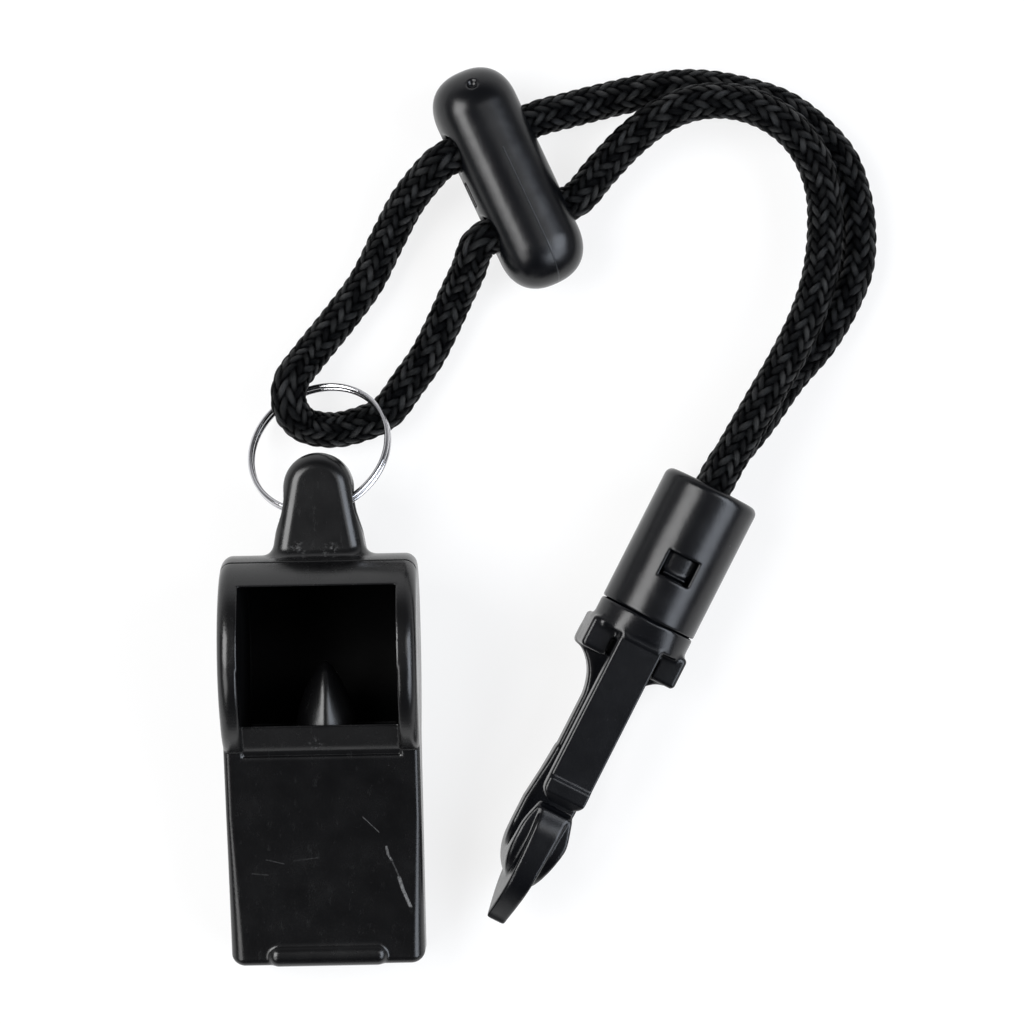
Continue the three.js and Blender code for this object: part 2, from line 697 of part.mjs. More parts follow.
const hookAssembly = new THREE.Group();
hookAssembly.position.set(capMouth.x, capMouth.y, capRadius + tableGap);
hookAssembly.rotation.z = hookHeading;

const rolledCap = new THREE.Group();
rolledCap.rotation.y = capRoll;
rolledCap.add(named('hook_cap', capGeometry(), satinBlack, 0.45, 0));
rolledCap.add(named('cord_plug', plugGeometry(), satinBlack, 0.5, 0));
hookAssembly.add(rolledCap);

const rolledHook = new THREE.Group();
rolledHook.rotation.y = hookRoll;
rolledHook.add(named('hook_body', hookGeometry(), satinBlack, 0.45, 0));
rolledHook.add(named('hook_gate', gateGeometry(), satinBlack, 0.45, 0));
hookAssembly.add(rolledHook);
lying.add(hookAssembly);

console.log(`Least gap between the ring's turns: ${ringLeastGap().toFixed(2)} mm`);

const model = new THREE.Group();
model.add(lying);

export default model;
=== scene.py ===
"""A black sports whistle with its lanyard, lying on a pale table and seen from above.

Lengths in this script are millimetres in the whistle's own frame: X = 0 is its middle line, Y = 0 is the
middle of its barrel and Z = 0 is the table. Pieces are turned into metres in the row frame as they are made.
"""

import math

import bmesh
import bpy
import numpy as np
from mathutils import Matrix, Vector


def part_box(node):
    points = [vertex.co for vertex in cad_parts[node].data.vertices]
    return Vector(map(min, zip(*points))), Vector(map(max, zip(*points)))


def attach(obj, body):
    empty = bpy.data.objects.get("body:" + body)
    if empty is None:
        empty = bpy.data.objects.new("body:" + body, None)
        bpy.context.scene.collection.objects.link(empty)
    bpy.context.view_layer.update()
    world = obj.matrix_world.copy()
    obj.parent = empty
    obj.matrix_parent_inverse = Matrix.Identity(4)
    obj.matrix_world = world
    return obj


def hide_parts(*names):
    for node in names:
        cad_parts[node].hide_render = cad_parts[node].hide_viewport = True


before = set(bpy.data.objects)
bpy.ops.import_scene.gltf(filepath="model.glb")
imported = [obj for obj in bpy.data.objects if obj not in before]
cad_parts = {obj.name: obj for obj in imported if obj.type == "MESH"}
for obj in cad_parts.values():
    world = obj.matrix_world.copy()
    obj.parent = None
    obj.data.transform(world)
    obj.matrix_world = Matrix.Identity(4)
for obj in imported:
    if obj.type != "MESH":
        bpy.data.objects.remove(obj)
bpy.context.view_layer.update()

MM = 0.001

# The whistle's barrel is a circle that touches the table, and its lug reaches furthest back.
BARREL_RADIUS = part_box("upper_shell")[1].z / MM / 2
WHISTLE_WIDTH = (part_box("lower_shell")[1].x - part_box("lower_shell")[0].x) / MM
LUG_REACH = 20.1
SHIFT_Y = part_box("lower_shell")[1].y / MM - LUG_REACH
INTO_FRAME = Matrix.Translation((0, SHIFT_Y * MM, 0)) @ Matrix.Scale(MM, 4)


# Camera, straight above, turned by about a degree as in the photograph
IMAGE_SIZE = 1024
PIXELS_PER_MM = 9.8
CAMERA_HEIGHT = 380
CAMERA_PLACE = (19.21, 13.83)
CAMERA_TURN = math.radians(-1.1)
SENSOR_WIDTH = 36


def make_camera():
    data = bpy.data.cameras.new("camera")
    data.sensor_width = SENSOR_WIDTH
    data.lens = SENSOR_WIDTH * CAMERA_HEIGHT * PIXELS_PER_MM / IMAGE_SIZE
    data.clip_start = 0.01
    data.clip_end = 10
    camera = bpy.data.objects.new("camera", data)
    bpy.context.scene.collection.objects.link(camera)
    camera.location = INTO_FRAME @ Vector((*CAMERA_PLACE, CAMERA_HEIGHT))
    camera.rotation_euler = (0, 0, CAMERA_TURN)
    bpy.context.scene.camera = camera


make_camera()


# Materials
# The value that the attribute parting has on a mould's parting line
PARTING = 10


class Shader:
    """A material's node tree, with short calls for the nodes that are used here."""

    def __init__(self, name):
        self.material = bpy.data.materials.new(name)
        self.material.use_nodes = True
        self.tree = self.material.node_tree
        self.bsdf = self.tree.nodes["Principled BSDF"]
        self.place = self.add("ShaderNodeTexCoord").outputs["Object"]

    def add(self, kind, **settings):
        node = self.tree.nodes.new(kind)
        for key, value in settings.items():
            setattr(node, key, value)
        return node

    def feed(self, socket, value):
        if isinstance(value, bpy.types.NodeSocket):
            self.tree.links.new(value, socket)
        else:
            socket.default_value = value

    def noise(self, per_mm, detail=3, roughness=0.5, stretch=None):
        """A cloudy value from 0 to 1; the higher per_mm is, the finer it gets."""
        node = self.add("ShaderNodeTexNoise")
        node.inputs["Scale"].default_value = per_mm / MM
        node.inputs["Detail"].default_value = detail
        node.inputs["Roughness"].default_value = roughness
        self.feed(node.inputs["Vector"], self.stretched(stretch) if stretch else self.place)
        return node.outputs["Fac"]

    def stretched(self, scale):
        node = self.add("ShaderNodeMapping")
        node.inputs["Scale"].default_value = scale
        self.feed(node.inputs["Vector"], self.place)
        return node.outputs["Vector"]

    def ramp(self, value, *stops):
        """Colours at places from 0 to 1, blended between them."""
        node = self.add("ShaderNodeValToRGB")
        points = node.color_ramp.elements
        while len(points) < len(stops):
            points.new(1)
        for point, (at, colour) in zip(points, stops):
            point.position = at
            point.color = colour if len(colour) == 4 else (*colour, 1)
        self.feed(node.inputs["Fac"], value)
        return node.outputs["Color"]

    def grey_ramp(self, value, *stops):
        return self.ramp(value, *((at, (level, level, level)) for at, level in stops))

    def maths(self, operation, first, second=0.0):
        node = self.add("ShaderNodeMath", operation=operation)
        self.feed(node.inputs[0], first)
        self.feed(node.inputs[1], second)
        return node.outputs[0]

    def mix(self, share, first, second):
        node = self.add("ShaderNodeMix", data_type="RGBA")
        self.feed(node.inputs["Factor"], share)
        self.feed(node.inputs["A"], first)
        self.feed(node.inputs["B"], second)
        return node.outputs["Result"]

    def linear(self, value, factor, offset):
        """The value times a factor, plus an offset."""
        node = self.add("ShaderNodeMath", operation="MULTIPLY_ADD")
        self.feed(node.inputs[0], value)
        node.inputs[1].default_value = factor
        node.inputs[2].default_value = offset
        return node.outputs[0]

    def axes(self):
        """The place on the piece as separate X, Y and Z, in metres."""
        node = self.add("ShaderNodeSeparateXYZ")
        self.feed(node.inputs[0], self.place)
        return node.outputs

    def scratch(self, places, half_width, strength, run_axis):
        """A line through places in mm that run along one axis, fading at both ends."""
        places = [[c / MM for c in INTO_FRAME @ Vector((*place, 0))][:2] for place in places]
        run = [place[run_axis] for place in places]
        side = [place[1 - run_axis] for place in places]
        low, reach = min(side), max(max(side) - min(side), 0.01)
        share = self.linear(self.axes()[run_axis], 1 / MM / (run[-1] - run[0]), run[0] / (run[0] - run[-1]))
        stops = [((at - run[0]) / (run[-1] - run[0]), (over - low) / reach) for at, over in zip(run, side)]
        middle = self.linear(self.grey_ramp(share, *stops), reach, low)
        away = self.maths("SUBTRACT", self.linear(self.axes()[1 - run_axis], 1 / MM, 0), middle)
        across = self.linear(self.maths("ABSOLUTE", away), 0.5 / half_width, 0)
        core = self.grey_ramp(across, (0.25, strength), (0.6, 0))
        return self.maths("MULTIPLY", core, self.grey_ramp(share, (0, 0), (0.06, 1), (0.94, 1), (0.999, 0)))

    def spot(self, place, radius):
        """1 at a place in mm, falling to 0 at the radius."""
        node = self.add("ShaderNodeVectorMath", operation="DISTANCE")
        self.feed(node.inputs[0], self.place)
        node.inputs[1].default_value = INTO_FRAME @ Vector(place)
        return self.grey_ramp(self.linear(node.outputs["Value"], 1 / MM / radius, 0), (0.4, 1), (1, 0))

    def attribute(self, name):
        node = self.add("ShaderNodeAttribute", attribute_name=name)
        return node.outputs["Fac"]

    def bump(self, *layers):
        """Each layer is (height value, depth in mm)."""
        normal = None
        for height, depth in layers:
            node = self.add("ShaderNodeBump")
            node.inputs["Distance"].default_value = depth * MM
            self.feed(node.inputs["Height"], height)
            if normal:
                self.feed(node.inputs["Normal"], normal)
            normal = node.outputs["Normal"]
        self.feed(self.bsdf.inputs["Normal"], normal)

    def set(self, **values):
        for key, value in values.items():
            self.feed(self.bsdf.inputs[key.replace("_", " ")], value)


# Scratches on the mouthpiece's top: places in mm, half width, strength, and the axis that they run along
SCRATCHES = (
    (((3.8, -16.0), (5.5, -17.7)), 0.08, 0.3, 0),
    (((6.1, -19.0), (6.25, -19.9), (6.65, -20.6)), 0.13, 0.55, 1),
    (((6.65, -20.6), (7.3, -22.2)), 0.09, 0.2, 1),
    (((7.25, -22.1), (7.6, -23.4), (8.4, -25.4)), 0.18, 0.75, 1),
    (((-6.0, -20.2), (-4.0, -20.7)), 0.06, 0.13, 0),
    (((-3.2, -20.4), (-0.6, -20.1)), 0.06, 0.1, 0),
    (((-7.4, -21.6), (-5.6, -21.8)), 0.06, 0.1, 0),
)
# The scratches are on the top only, which all lies above this height
SCRATCHES_ABOVE = 7
# Rubbed places on the root of the lug and at the foot of the ramp: place in mm and radius
RUBBED = (((-1.9, 10.3, 12), 1.2), ((1.2, 10.2, 12), 1.1), ((-0.4, -8.6, 14), 1.0))


def gloss_plastic():
    """Polished black moulding with handling marks: faint scuffs, dust, scratches and a little unevenness.

    The attribute inner marks the walls of the chamber and of the mouthpiece's hollow, which are painted
    darker as shade and made rougher and less shiny."""
    shader = Shader("gloss_black_plastic")
    cloud = shader.noise(0.35, detail=4)
    scuff = shader.grey_ramp(shader.noise(1.4, detail=6, roughness=0.7, stretch=(1, 0.35, 1)),
                             (0.58, 0), (0.7, 1))
    dust = shader.grey_ramp(shader.noise(4.2, detail=3), (0.72, 0), (0.77, 1))
    inner = shader.attribute("inner")
    torn = shader.grey_ramp(shader.noise(5, detail=4, roughness=0.7), (0.4, 0.3), (0.55, 1))
    lines = shader.scratch(*SCRATCHES[0])
    for line in SCRATCHES[1:]:
        lines = shader.maths("MAXIMUM", lines, shader.scratch(*line))
    above = shader.maths("GREATER_THAN", shader.axes()[2], SCRATCHES_ABOVE * MM)
    scratch = shader.maths("MULTIPLY", shader.maths("MULTIPLY", lines, torn), above)
    rub = shader.spot(*RUBBED[0])
    for place in RUBBED[1:]:
        rub = shader.maths("MAXIMUM", rub, shader.spot(*place))
    crumbs = shader.grey_ramp(shader.noise(2.4, detail=4, roughness=0.7), (0.52, 0), (0.7, 0.4))
    scratch = shader.maths("MAXIMUM", scratch, shader.maths("MULTIPLY", rub, crumbs))
    base = shader.mix(cloud, (0.0016, 0.0016, 0.0018, 1), (0.0028, 0.0028, 0.0031, 1))
    marked = shader.mix(shader.maths("MULTIPLY", scuff, 0.06), base, (0.03, 0.03, 0.031, 1))
    dusty = shader.mix(shader.maths("MULTIPLY", dust, 0.3), marked, (0.05, 0.05, 0.05, 1))
    worn = shader.mix(scratch, dusty, (0.16, 0.16, 0.16, 1))
    # Painted shade: the walls inside the chamber and the mouthpiece are made darker than the rest.
    dark = shader.mix(inner, worn, (0.001, 0.001, 0.0011, 1))
    scuffed = shader.maths("ADD", shader.linear(cloud, 0.16, 0.17), shader.maths("MULTIPLY", scuff, 0.08))
    dull = shader.maths("MULTIPLY", shader.maths("MAXIMUM", scratch, inner), 0.35)
    shader.set(Base_Color=dark, Roughness=shader.maths("ADD", scuffed, dull),
               Specular_IOR_Level=shader.linear(inner, -0.38, 0.46), IOR=1.5)
    shader.bump((shader.noise(0.22, detail=2), 0.03), (shader.noise(3.5, detail=3), 0.002), (scratch, 0.02))
    return shader.material


def satin_plastic():
    """Spark-textured black moulding with a cool cast and a soft sheen.

    The attribute parting has the value PARTING along the line where the mould's halves met; that line is
    raised a little by a bump and drawn lighter as a painted glint."""
    shader = Shader("satin_black_plastic")
    cloud = shader.noise(0.4, detail=4)
    grain = shader.noise(9, detail=1.5, roughness=0.6)
    base = shader.mix(cloud, (0.001, 0.0012, 0.0018, 1), (0.0022, 0.0025, 0.0034, 1))
    speck = shader.grey_ramp(shader.noise(5, detail=2), (0.7, 0), (0.78, 1))
    dusty = shader.mix(shader.maths("MULTIPLY", speck, 0.25), base, (0.04, 0.042, 0.048, 1))
    rough = shader.linear(cloud, 0.1, 0.2)
    beside = shader.maths("ABSOLUTE", shader.maths("SUBTRACT", shader.attribute("parting"), PARTING))
    line = shader.grey_ramp(beside, (0.03, 1), (0.1, 0))
    # Painted highlight: the parting line is drawn lighter, as a glint along it.
    glint_lined = shader.mix(shader.maths("MULTIPLY", line, 0.35), dusty, (0.05, 0.052, 0.056, 1))
    shader.set(Base_Color=glint_lined, Roughness=rough, Specular_IOR_Level=0.42, IOR=1.46)
    shader.bump((shader.noise(0.3, detail=2), 0.05), (grain, 0.01), (line, 0.02))
    return shader.material


YARNS_PER_BUNDLE = 7


def braid_fabric():
    """Bundles of fine black yarn: filaments along each bundle, with painted shade where the bundles dive."""
    shader = Shader("black_braid")
    depth = shader.attribute("depth")
    along = shader.attribute("filament")
    tint = shader.attribute("tint")
    strands = shader.add("ShaderNodeMath", operation="SINE")
    shader.feed(strands.inputs[0], shader.maths("MULTIPLY", along, 2 * math.pi * YARNS_PER_BUNDLE))
    fuzz = shader.noise(9, detail=3, roughness=0.7)
    black = shader.ramp(tint, (0, (0.0008, 0.001, 0.0014)), (0.5, (0.0018, 0.0023, 0.0026)),
                        (1, (0.0042, 0.0048, 0.0054)))
    # Painted shade: the base colour darkens where a bundle dives under the others.
    crevice_shaded = shader.mix(shader.grey_ramp(depth, (0.3, 0), (0.95, 1)), (0.0004, 0.0004, 0.0006, 1), black)
    frayed = shader.mix(shader.grey_ramp(fuzz, (0.6, 0), (0.78, 0.4)), crevice_shaded, (0.02, 0.021, 0.023, 1))
    gleam = shader.maths("MULTIPLY", shader.grey_ramp(depth, (0.35, 0.01), (0.95, 0.3)),
                         shader.linear(tint, 1.0, 0.2))
    shader.set(Base_Color=frayed, Roughness=shader.linear(fuzz, 0.3, 0.28), Specular_IOR_Level=gleam)
    shader.bump((strands.outputs[0], 0.03), (fuzz, 0.05))
    return shader.material


def ring_steel():
    """Bright drawn wire with fine lines along it and small dull spots."""
    shader = Shader("bright_spring_steel")
    lines = shader.noise(6, detail=3, stretch=(1, 0.2, 1))
    spots = shader.grey_ramp(shader.noise(2.2, detail=4), (0.6, 0), (0.75, 1))
    colour = shader.mix(shader.maths("MULTIPLY", spots, 0.5), (0.66, 0.66, 0.68, 1), (0.3, 0.29, 0.28, 1))
    shader.set(Base_Color=colour, Roughness=shader.linear(lines, 0.14, 0.08), Metallic=1.0)
    shader.bump((lines, 0.008))
    return shader.material


GLOSS = gloss_plastic()
SATIN = satin_plastic()
BRAID = braid_fabric()
STEEL = ring_steel()


# Cord: the same route as the part's own solid, covered with a real braid
CORD_DIAMETER = 3.7
STRAND_GAP = 0.3
TABLE_GAP = 0.05
SLIDER_CENTRE = Vector((19.6, 47.3, 4.5))
SLIDER_WIDTH = 8.5
SLIDER_HOLE_SPACING = 9
SLIDER_TURN = (Matrix.Rotation(math.radians(24), 3, "Z") @ Matrix.Rotation(math.radians(10), 3, "Y"))
CAP_RADIUS = 5.05
CAP_MOUTH = Vector((39.51, 15.85, CAP_RADIUS + TABLE_GAP))
HOOK_HEADING = math.radians(-28)
HOOK_TURN = Matrix.Rotation(HOOK_HEADING, 3, "Z")
PLUG_TOP = 7.3


def strand_through(side):
    """Points where a strand passes through one hole of the slider, from its right face to its left."""
    hole = SLIDER_CENTRE + SLIDER_TURN @ Vector((0, side * SLIDER_HOLE_SPACING / 2, 0))
    half = SLIDER_WIDTH / 2
    return [hole + SLIDER_TURN @ Vector((at, 0, 0)) for at in (half + 1.2, half / 2, -half / 2, -half - 1.2)]


def strand_in_cap(side):
    """Points where a strand lies inside the cap and leaves its mouth."""
    lift = side * (CORD_DIAMETER + STRAND_GAP) / 2
    return [CAP_MOUTH + HOOK_TURN @ Vector((0, at, lift)) for at in (0.6 - PLUG_TOP, -2.5, 2.4)]


def cord_route():
    low = CORD_DIAMETER / 2 + 2 * TABLE_GAP
    over = low + CORD_DIAMETER + STRAND_GAP
    lower = [(44.4, 22.6, 2.4), (47.5, 26.8, low), (50.9, 30.7, low), (53.2, 34.5, low), (54.6, 38, low),
             (54.9, 41.8, low), (54.4, 45.6, low), (53, 49.3, low), (48.4, 53.8, low), (43.7, 55.7, low),
             (38.3, 56.6, low), (33, 56.1, low), (28.7, 55.2, 2.1), (25.3, 54.3, 3)]
    loop = [(11, 47.5, 4.7), (9.1, 45.2, 3.4), (7.1, 41.7, 2.1), (4.9, 37.5, low), (2, 33.7, low),
            (-1.2, 29.8, 2.7), (-2.9, 27.2, 4.35), (-3, 24.9, 4.3), (-1.7, 23.1, 2.8), (1.2, 22.5, 2),
            (4.2, 23.1, low), (6.6, 24.2, low), (9, 27.2, low), (10.9, 29.8, low), (12.5, 32.8, low),
            (13.9, 35.7, 2.2), (15.2, 38.2, 3.6)]
    upper = [(28.9, 48.2, 3.3), (32.2, 51.4, 4.4), (35.7, 53.7, 5.6), (39.3, 54.7, over), (43.2, 54.4, over),
             (46.8, 52.7, over), (49.5, 49.9, 5.6), (51.1, 45.9, 5), (51.3, 41.6, 4.6), (50.7, 37.2, 4.7),
             (49.3, 33, 5.3), (47.1, 28.7, over), (44.5, 24.4, 6.6)]
    return [*strand_in_cap(-1), *lower, *strand_through(1), *loop,
            *reversed(strand_through(-1)), *upper, *reversed(strand_in_cap(1))]


def smooth_path(route, spacing):
    """A centripetal curve through the route's points, cut into equal steps."""
    points = [np.array(p, float) for p in route]
    points = [2 * points[0] - points[1], *points, 2 * points[-1] - points[-2]]
    dense = []
    for a, b, c, d in zip(points, points[1:], points[2:], points[3:]):
        ta = 0.0
        tb = ta + math.sqrt(np.linalg.norm(b - a))
        tc = tb + math.sqrt(np.linalg.norm(c - b))
        td = tc + math.sqrt(np.linalg.norm(d - c))
        for t in np.linspace(tb, tc, 24, endpoint=False):
            ab = (tb - t) / (tb - ta) * a + (t - ta) / (tb - ta) * b
            bc = (tc - t) / (tc - tb) * b + (t - tb) / (tc - tb) * c
            cd = (td - t) / (td - tc) * c + (t - tc) / (td - tc) * d
            abc = (tc - t) / (tc - ta) * ab + (t - ta) / (tc - ta) * bc
            bcd = (td - t) / (td - tb) * bc + (t - tb) / (td - tb) * cd
            dense.append((tc - t) / (tc - tb) * abc + (t - tb) / (tc - tb) * bcd)
    dense.append(points[-2])
    dense = np.array(dense)
    run = np.concatenate([[0], np.cumsum(np.linalg.norm(np.diff(dense, axis=0), axis=1))])
    stations = np.linspace(0, run[-1], int(round(run[-1] / spacing)) + 1)
    return np.stack([np.interp(stations, run, dense[:, i]) for i in range(3)], axis=1), run[-1]


def carried_frames(path):
    """Two directions across the path at each point, carried along it without twisting."""
    tangents = np.gradient(path, axis=0)
    tangents /= np.linalg.norm(tangents, axis=1)[:, None]
    side = np.cross(tangents[0], (0, 0, 1.0))
    sides = []
    for tangent in tangents:
        side = side - tangent * np.dot(side, tangent)
        side /= np.linalg.norm(side)
        sides.append(side)
    sides = np.array(sides)
    return sides, np.cross(tangents, sides)


def sleeve_faces(rows, columns):
    """Quads of an open tube, with the points listed ring by ring."""
    index = np.arange(rows * columns).reshape(rows, columns)
    right = np.roll(index, -1, axis=1)
    return np.stack([index[:-1], right[:-1], right[1:], index[1:]], axis=-1).reshape(-1, 4)


def mesh_object(name, points, faces, matrix):
    """A smooth-shaded piece from points in mm, taken into metres in the row frame by the matrix."""
    mesh = bpy.data.meshes.new(name)
    mesh.vertices.add(len(points))
    mesh.vertices.foreach_set("co", np.ascontiguousarray(points, np.float32).ravel())
    faces = np.ascontiguousarray(faces, np.int32)
    mesh.loops.add(faces.size)
    mesh.loops.foreach_set("vertex_index", faces.ravel())
    mesh.polygons.add(len(faces))
    mesh.polygons.foreach_set("loop_start", np.arange(0, faces.size, faces.shape[1], dtype=np.int32))
    mesh.polygons.foreach_set("use_smooth", np.ones(len(faces), bool))
    mesh.update(calc_edges=True)
    mesh.validate()
    mesh.transform(matrix)
    piece = bpy.data.objects.new(name, mesh)
    bpy.context.scene.collection.objects.link(piece)
    return piece


def close_ends(piece, columns):
    """A flat face over each end of a tube."""
    shape = bmesh.new()
    shape.from_mesh(piece.data)
    shape.verts.ensure_lookup_table()
    count = len(shape.verts)
    shape.faces.new([shape.verts[i] for i in reversed(range(columns))])
    shape.faces.new([shape.verts[i] for i in range(count - columns, count)])
    shape.to_mesh(piece.data)
    shape.free()


def paint(piece, name, values):
    """Give the piece a named value at each point, for its material."""
    attribute = piece.data.attributes.new(name, "FLOAT", "POINT")
    attribute.data.foreach_set("value", np.ascontiguousarray(values, np.float32))


def dress(piece, material, body, slot, replaced):
    """Cover the piece, put it on its body, and let it stand for a solid of the frame."""
    piece.data.materials.append(material)
    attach(piece, body)
    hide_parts(replaced)


# Moulded pieces: each is a distance field, so that every edge gets the small rounding that a mould leaves.
# The steps are the sizes of the cells that a surface is found in.
SHELL_STEP = 0.16
PIECE_STEP = 0.18
PLUG_STEP = 0.22
GATE_STEP = 0.14


def blunt_max(a, b, size):
    """The larger of two fields, with a rounded corner of about that size."""
    step = np.maximum(size - np.abs(a - b), 0) / size
    return np.maximum(a, b) + step * step * size / 4


def blunt_min(a, b, size):
    return -blunt_max(-a, -b, size)


def outline_field(u, v, corners):
    """Signed distance to a closed outline in the plane of u and v."""
    nearest = np.full(np.broadcast(u, v).shape, np.inf)
    inside = np.zeros(nearest.shape, bool)
    corners = np.asarray(corners, float)
    for (au, av), (bu, bv) in zip(corners, np.roll(corners, -1, axis=0)):
        eu, ev = bu - au, bv - av
        if eu == 0 and ev == 0:
            continue
        wu, wv = u - au, v - av
        t = np.clip((wu * eu + wv * ev) / (eu * eu + ev * ev), 0, 1)
        nearest = np.minimum(nearest, (wu - t * eu) ** 2 + (wv - t * ev) ** 2)
        if ev != 0:
            inside ^= ((av <= v) != (bv <= v)) & (u < au + wv * eu / ev)
    return np.where(inside, -1, 1) * np.sqrt(nearest)


def pushed_out(flat, across, half, edge):
    """A flat field given a thickness of two halves, with rounded edges."""
    a = flat + edge
    b = np.abs(across) - half + edge
    outside = np.sqrt(np.maximum(a, 0) ** 2 + np.maximum(b, 0) ** 2)
    return np.minimum(np.maximum(a, b), 0) + outside - edge


def box_field(x, y, z, low, high, edge=0.0):
    middle = [(a + b) / 2 for a, b in zip(low, high)]
    sizes = [(b - a) / 2 for a, b in zip(low, high)]
    gaps = [np.abs(c - m) - s + edge for c, m, s in zip((x, y, z), middle, sizes)]
    outside = np.sqrt(sum(np.maximum(g, 0) ** 2 for g in gaps))
    inner = np.minimum(np.maximum(np.maximum(gaps[0], gaps[1]), gaps[2]), 0)
    return inner + outside - edge


def rod_field(u, v, along, radius, low, high, edge):
    """A round rod along one axis between two places, with rounded rims."""
    return pushed_out(np.sqrt(u * u + v * v) - radius, along - (low + high) / 2, (high - low) / 2, edge)


def bar_field(x, y, z, half_length, radius, y_place, z_place):
    """A bar across the whistle with round ends."""
    beyond = np.maximum(np.abs(x) - half_length + radius, 0)
    return np.sqrt(beyond**2 + (y - y_place) ** 2 + (z - z_place) ** 2) - radius


def arc_points(centre, radii, start, stop, steps):
    angles = np.radians(np.linspace(start, stop, steps + 1))
    return [(centre[0] + radii[0] * math.cos(a), centre[1] + radii[1] * math.sin(a)) for a in angles]


def bend_points(start, control, end, steps):
    """Points of a quadratic curve, its start left out."""
    start, control, end = (np.array(p, float) for p in (start, control, end))
    return [tuple((1 - t) ** 2 * start + 2 * t * (1 - t) * control + t * t * end)
            for t in np.linspace(0, 1, steps + 1)[1:]]


def spline_points(knots, steps):
    """A smooth open curve through the knots."""
    knots = [np.array(p, float) for p in knots]
    knots = [2 * knots[0] - knots[1], *knots, 2 * knots[-1] - knots[-2]]
    points = []
    for a, b, c, d in zip(knots, knots[1:], knots[2:], knots[3:]):
        for t in np.linspace(0, 1, steps, endpoint=False):
            points.append(tuple(0.5 * (2 * b + (c - a) * t + (2 * a - 5 * b + 4 * c - d) * t**2
                                       + (3 * b - a - 3 * c + d) * t**3)))
    points.append(tuple(knots[-2]))
    return points


def skin(field, low, high, step):
    """The surface where a field is zero: one point in each crossed cell, then moved onto the surface."""
    counts = [int(math.ceil((b - a) / step)) + 1 for a, b in zip(low, high)]
    axes = [a + step * np.arange(n) for a, n in zip(low, counts)]
    x, y, z = axes[0][:, None, None], axes[1][None, :, None], axes[2][None, None, :]
    values = np.broadcast_to(field(x, y, z), counts).astype(np.float32)
    inside = values < 0
    cells, places, quads, flips = [], [], [], []
    size = np.array(counts)
    for axis in range(3):
        lower = tuple(slice(0, -1) if i == axis else slice(None) for i in range(3))
        upper = tuple(slice(1, None) if i == axis else slice(None) for i in range(3))
        found = np.argwhere(inside[lower] != inside[upper])
        other = found.copy()
        other[:, axis] += 1
        near = values[tuple(found.T)]
        far = values[tuple(other.T)]
        place = found.astype(float)
        place[:, axis] += near / (near - far)
        first, second = (axis + 1) % 3, (axis + 2) % 3
        around = []
        for back_first, back_second in ((0, 0), (1, 0), (1, 1), (0, 1)):
            cell = found.copy()
            cell[:, first] -= back_first
            cell[:, second] -= back_second
            number = np.ravel_multi_index(tuple(np.clip(cell, 0, size - 1).T), counts)
            cells.append(number)
            places.append(place)
            around.append(number)
        quads.append(np.stack(around, axis=1))
        flips.append(near < 0)
    cells = np.concatenate(cells)
    places = np.concatenate(places)
    names, slots = np.unique(cells, return_inverse=True)
    amount = np.bincount(slots)
    points = np.stack([np.bincount(slots, places[:, i]) / amount for i in range(3)], axis=1)
    points = points * step + np.array(low)
    faces = np.searchsorted(names, np.concatenate(quads))
    flip = ~np.concatenate(flips)
    faces[flip] = faces[flip][:, ::-1]
    reach = step / 2
    probe = step / 20
    corners = np.array([(1, -1, -1), (-1, -1, 1), (-1, 1, -1), (1, 1, 1)], float)
    for _ in range(3):
        slope = np.zeros_like(points)
        total = np.zeros(len(points))
        for corner in corners:
            sample = field(*(points + corner * probe).T)
            slope += corner * sample[:, None]
            total += sample
        slope /= 4 * probe
        steepness = np.maximum((slope**2).sum(axis=1), 0.05)
        move = (total / 4 / steepness)[:, None] * slope
        distance = np.linalg.norm(move, axis=1, keepdims=True)
        points -= move * np.minimum(1, reach / np.maximum(distance, 1e-9))
    return points, faces


def mould(name, field, low, high, step, place, *dressing):
    """A dressed piece made from a field, and its points in the field's own frame."""
    points, faces = skin(field, low, high, step)
    piece = mesh_object("moulded_" + name, points, faces, place)
    dress(piece, *dressing)
    return piece, points


# Braid: bundles of yarn that cross over and under each other
BUNDLES = 12
BUNDLE_PITCH = 1.3
STEPS_PER_BUNDLE = 8
BUNDLE_RISE = 0.13
BUNDLE_SWELL = 0.22


def braid_relief(around, along):
    """Height of a two-over-two braid, and which way and how far into a bundle each point lies.

    Around and along count bundles. One family runs up to the right and the other up to the left."""
    first = around + along
    second = around - along
    i = np.floor(first)
    j = np.floor(second)
    across_first = first - i - 0.5
    across_second = second - j - 0.5
    dive_first = np.cos(2 * np.pi * (second + i - 1) / 4)
    dive_second = np.cos(2 * np.pi * (first + j - 3) / 4)
    height_first = BUNDLE_RISE * dive_first + BUNDLE_SWELL * np.sqrt(1 - 3.6 * across_first**2)
    height_second = BUNDLE_RISE * dive_second + BUNDLE_SWELL * np.sqrt(1 - 3.6 * across_second**2)
    top = height_first >= height_second
    height = np.where(top, height_first, height_second)
    across = np.where(top, across_first, across_second + 40)
    strand_first = i * 7.13 + 0.5 * np.floor((second + i) / 4)
    strand_second = j * 3.71 + 0.5 * np.floor((first + j) / 4)
    strand = np.where(top, strand_first, strand_second)
    return height, across, strand


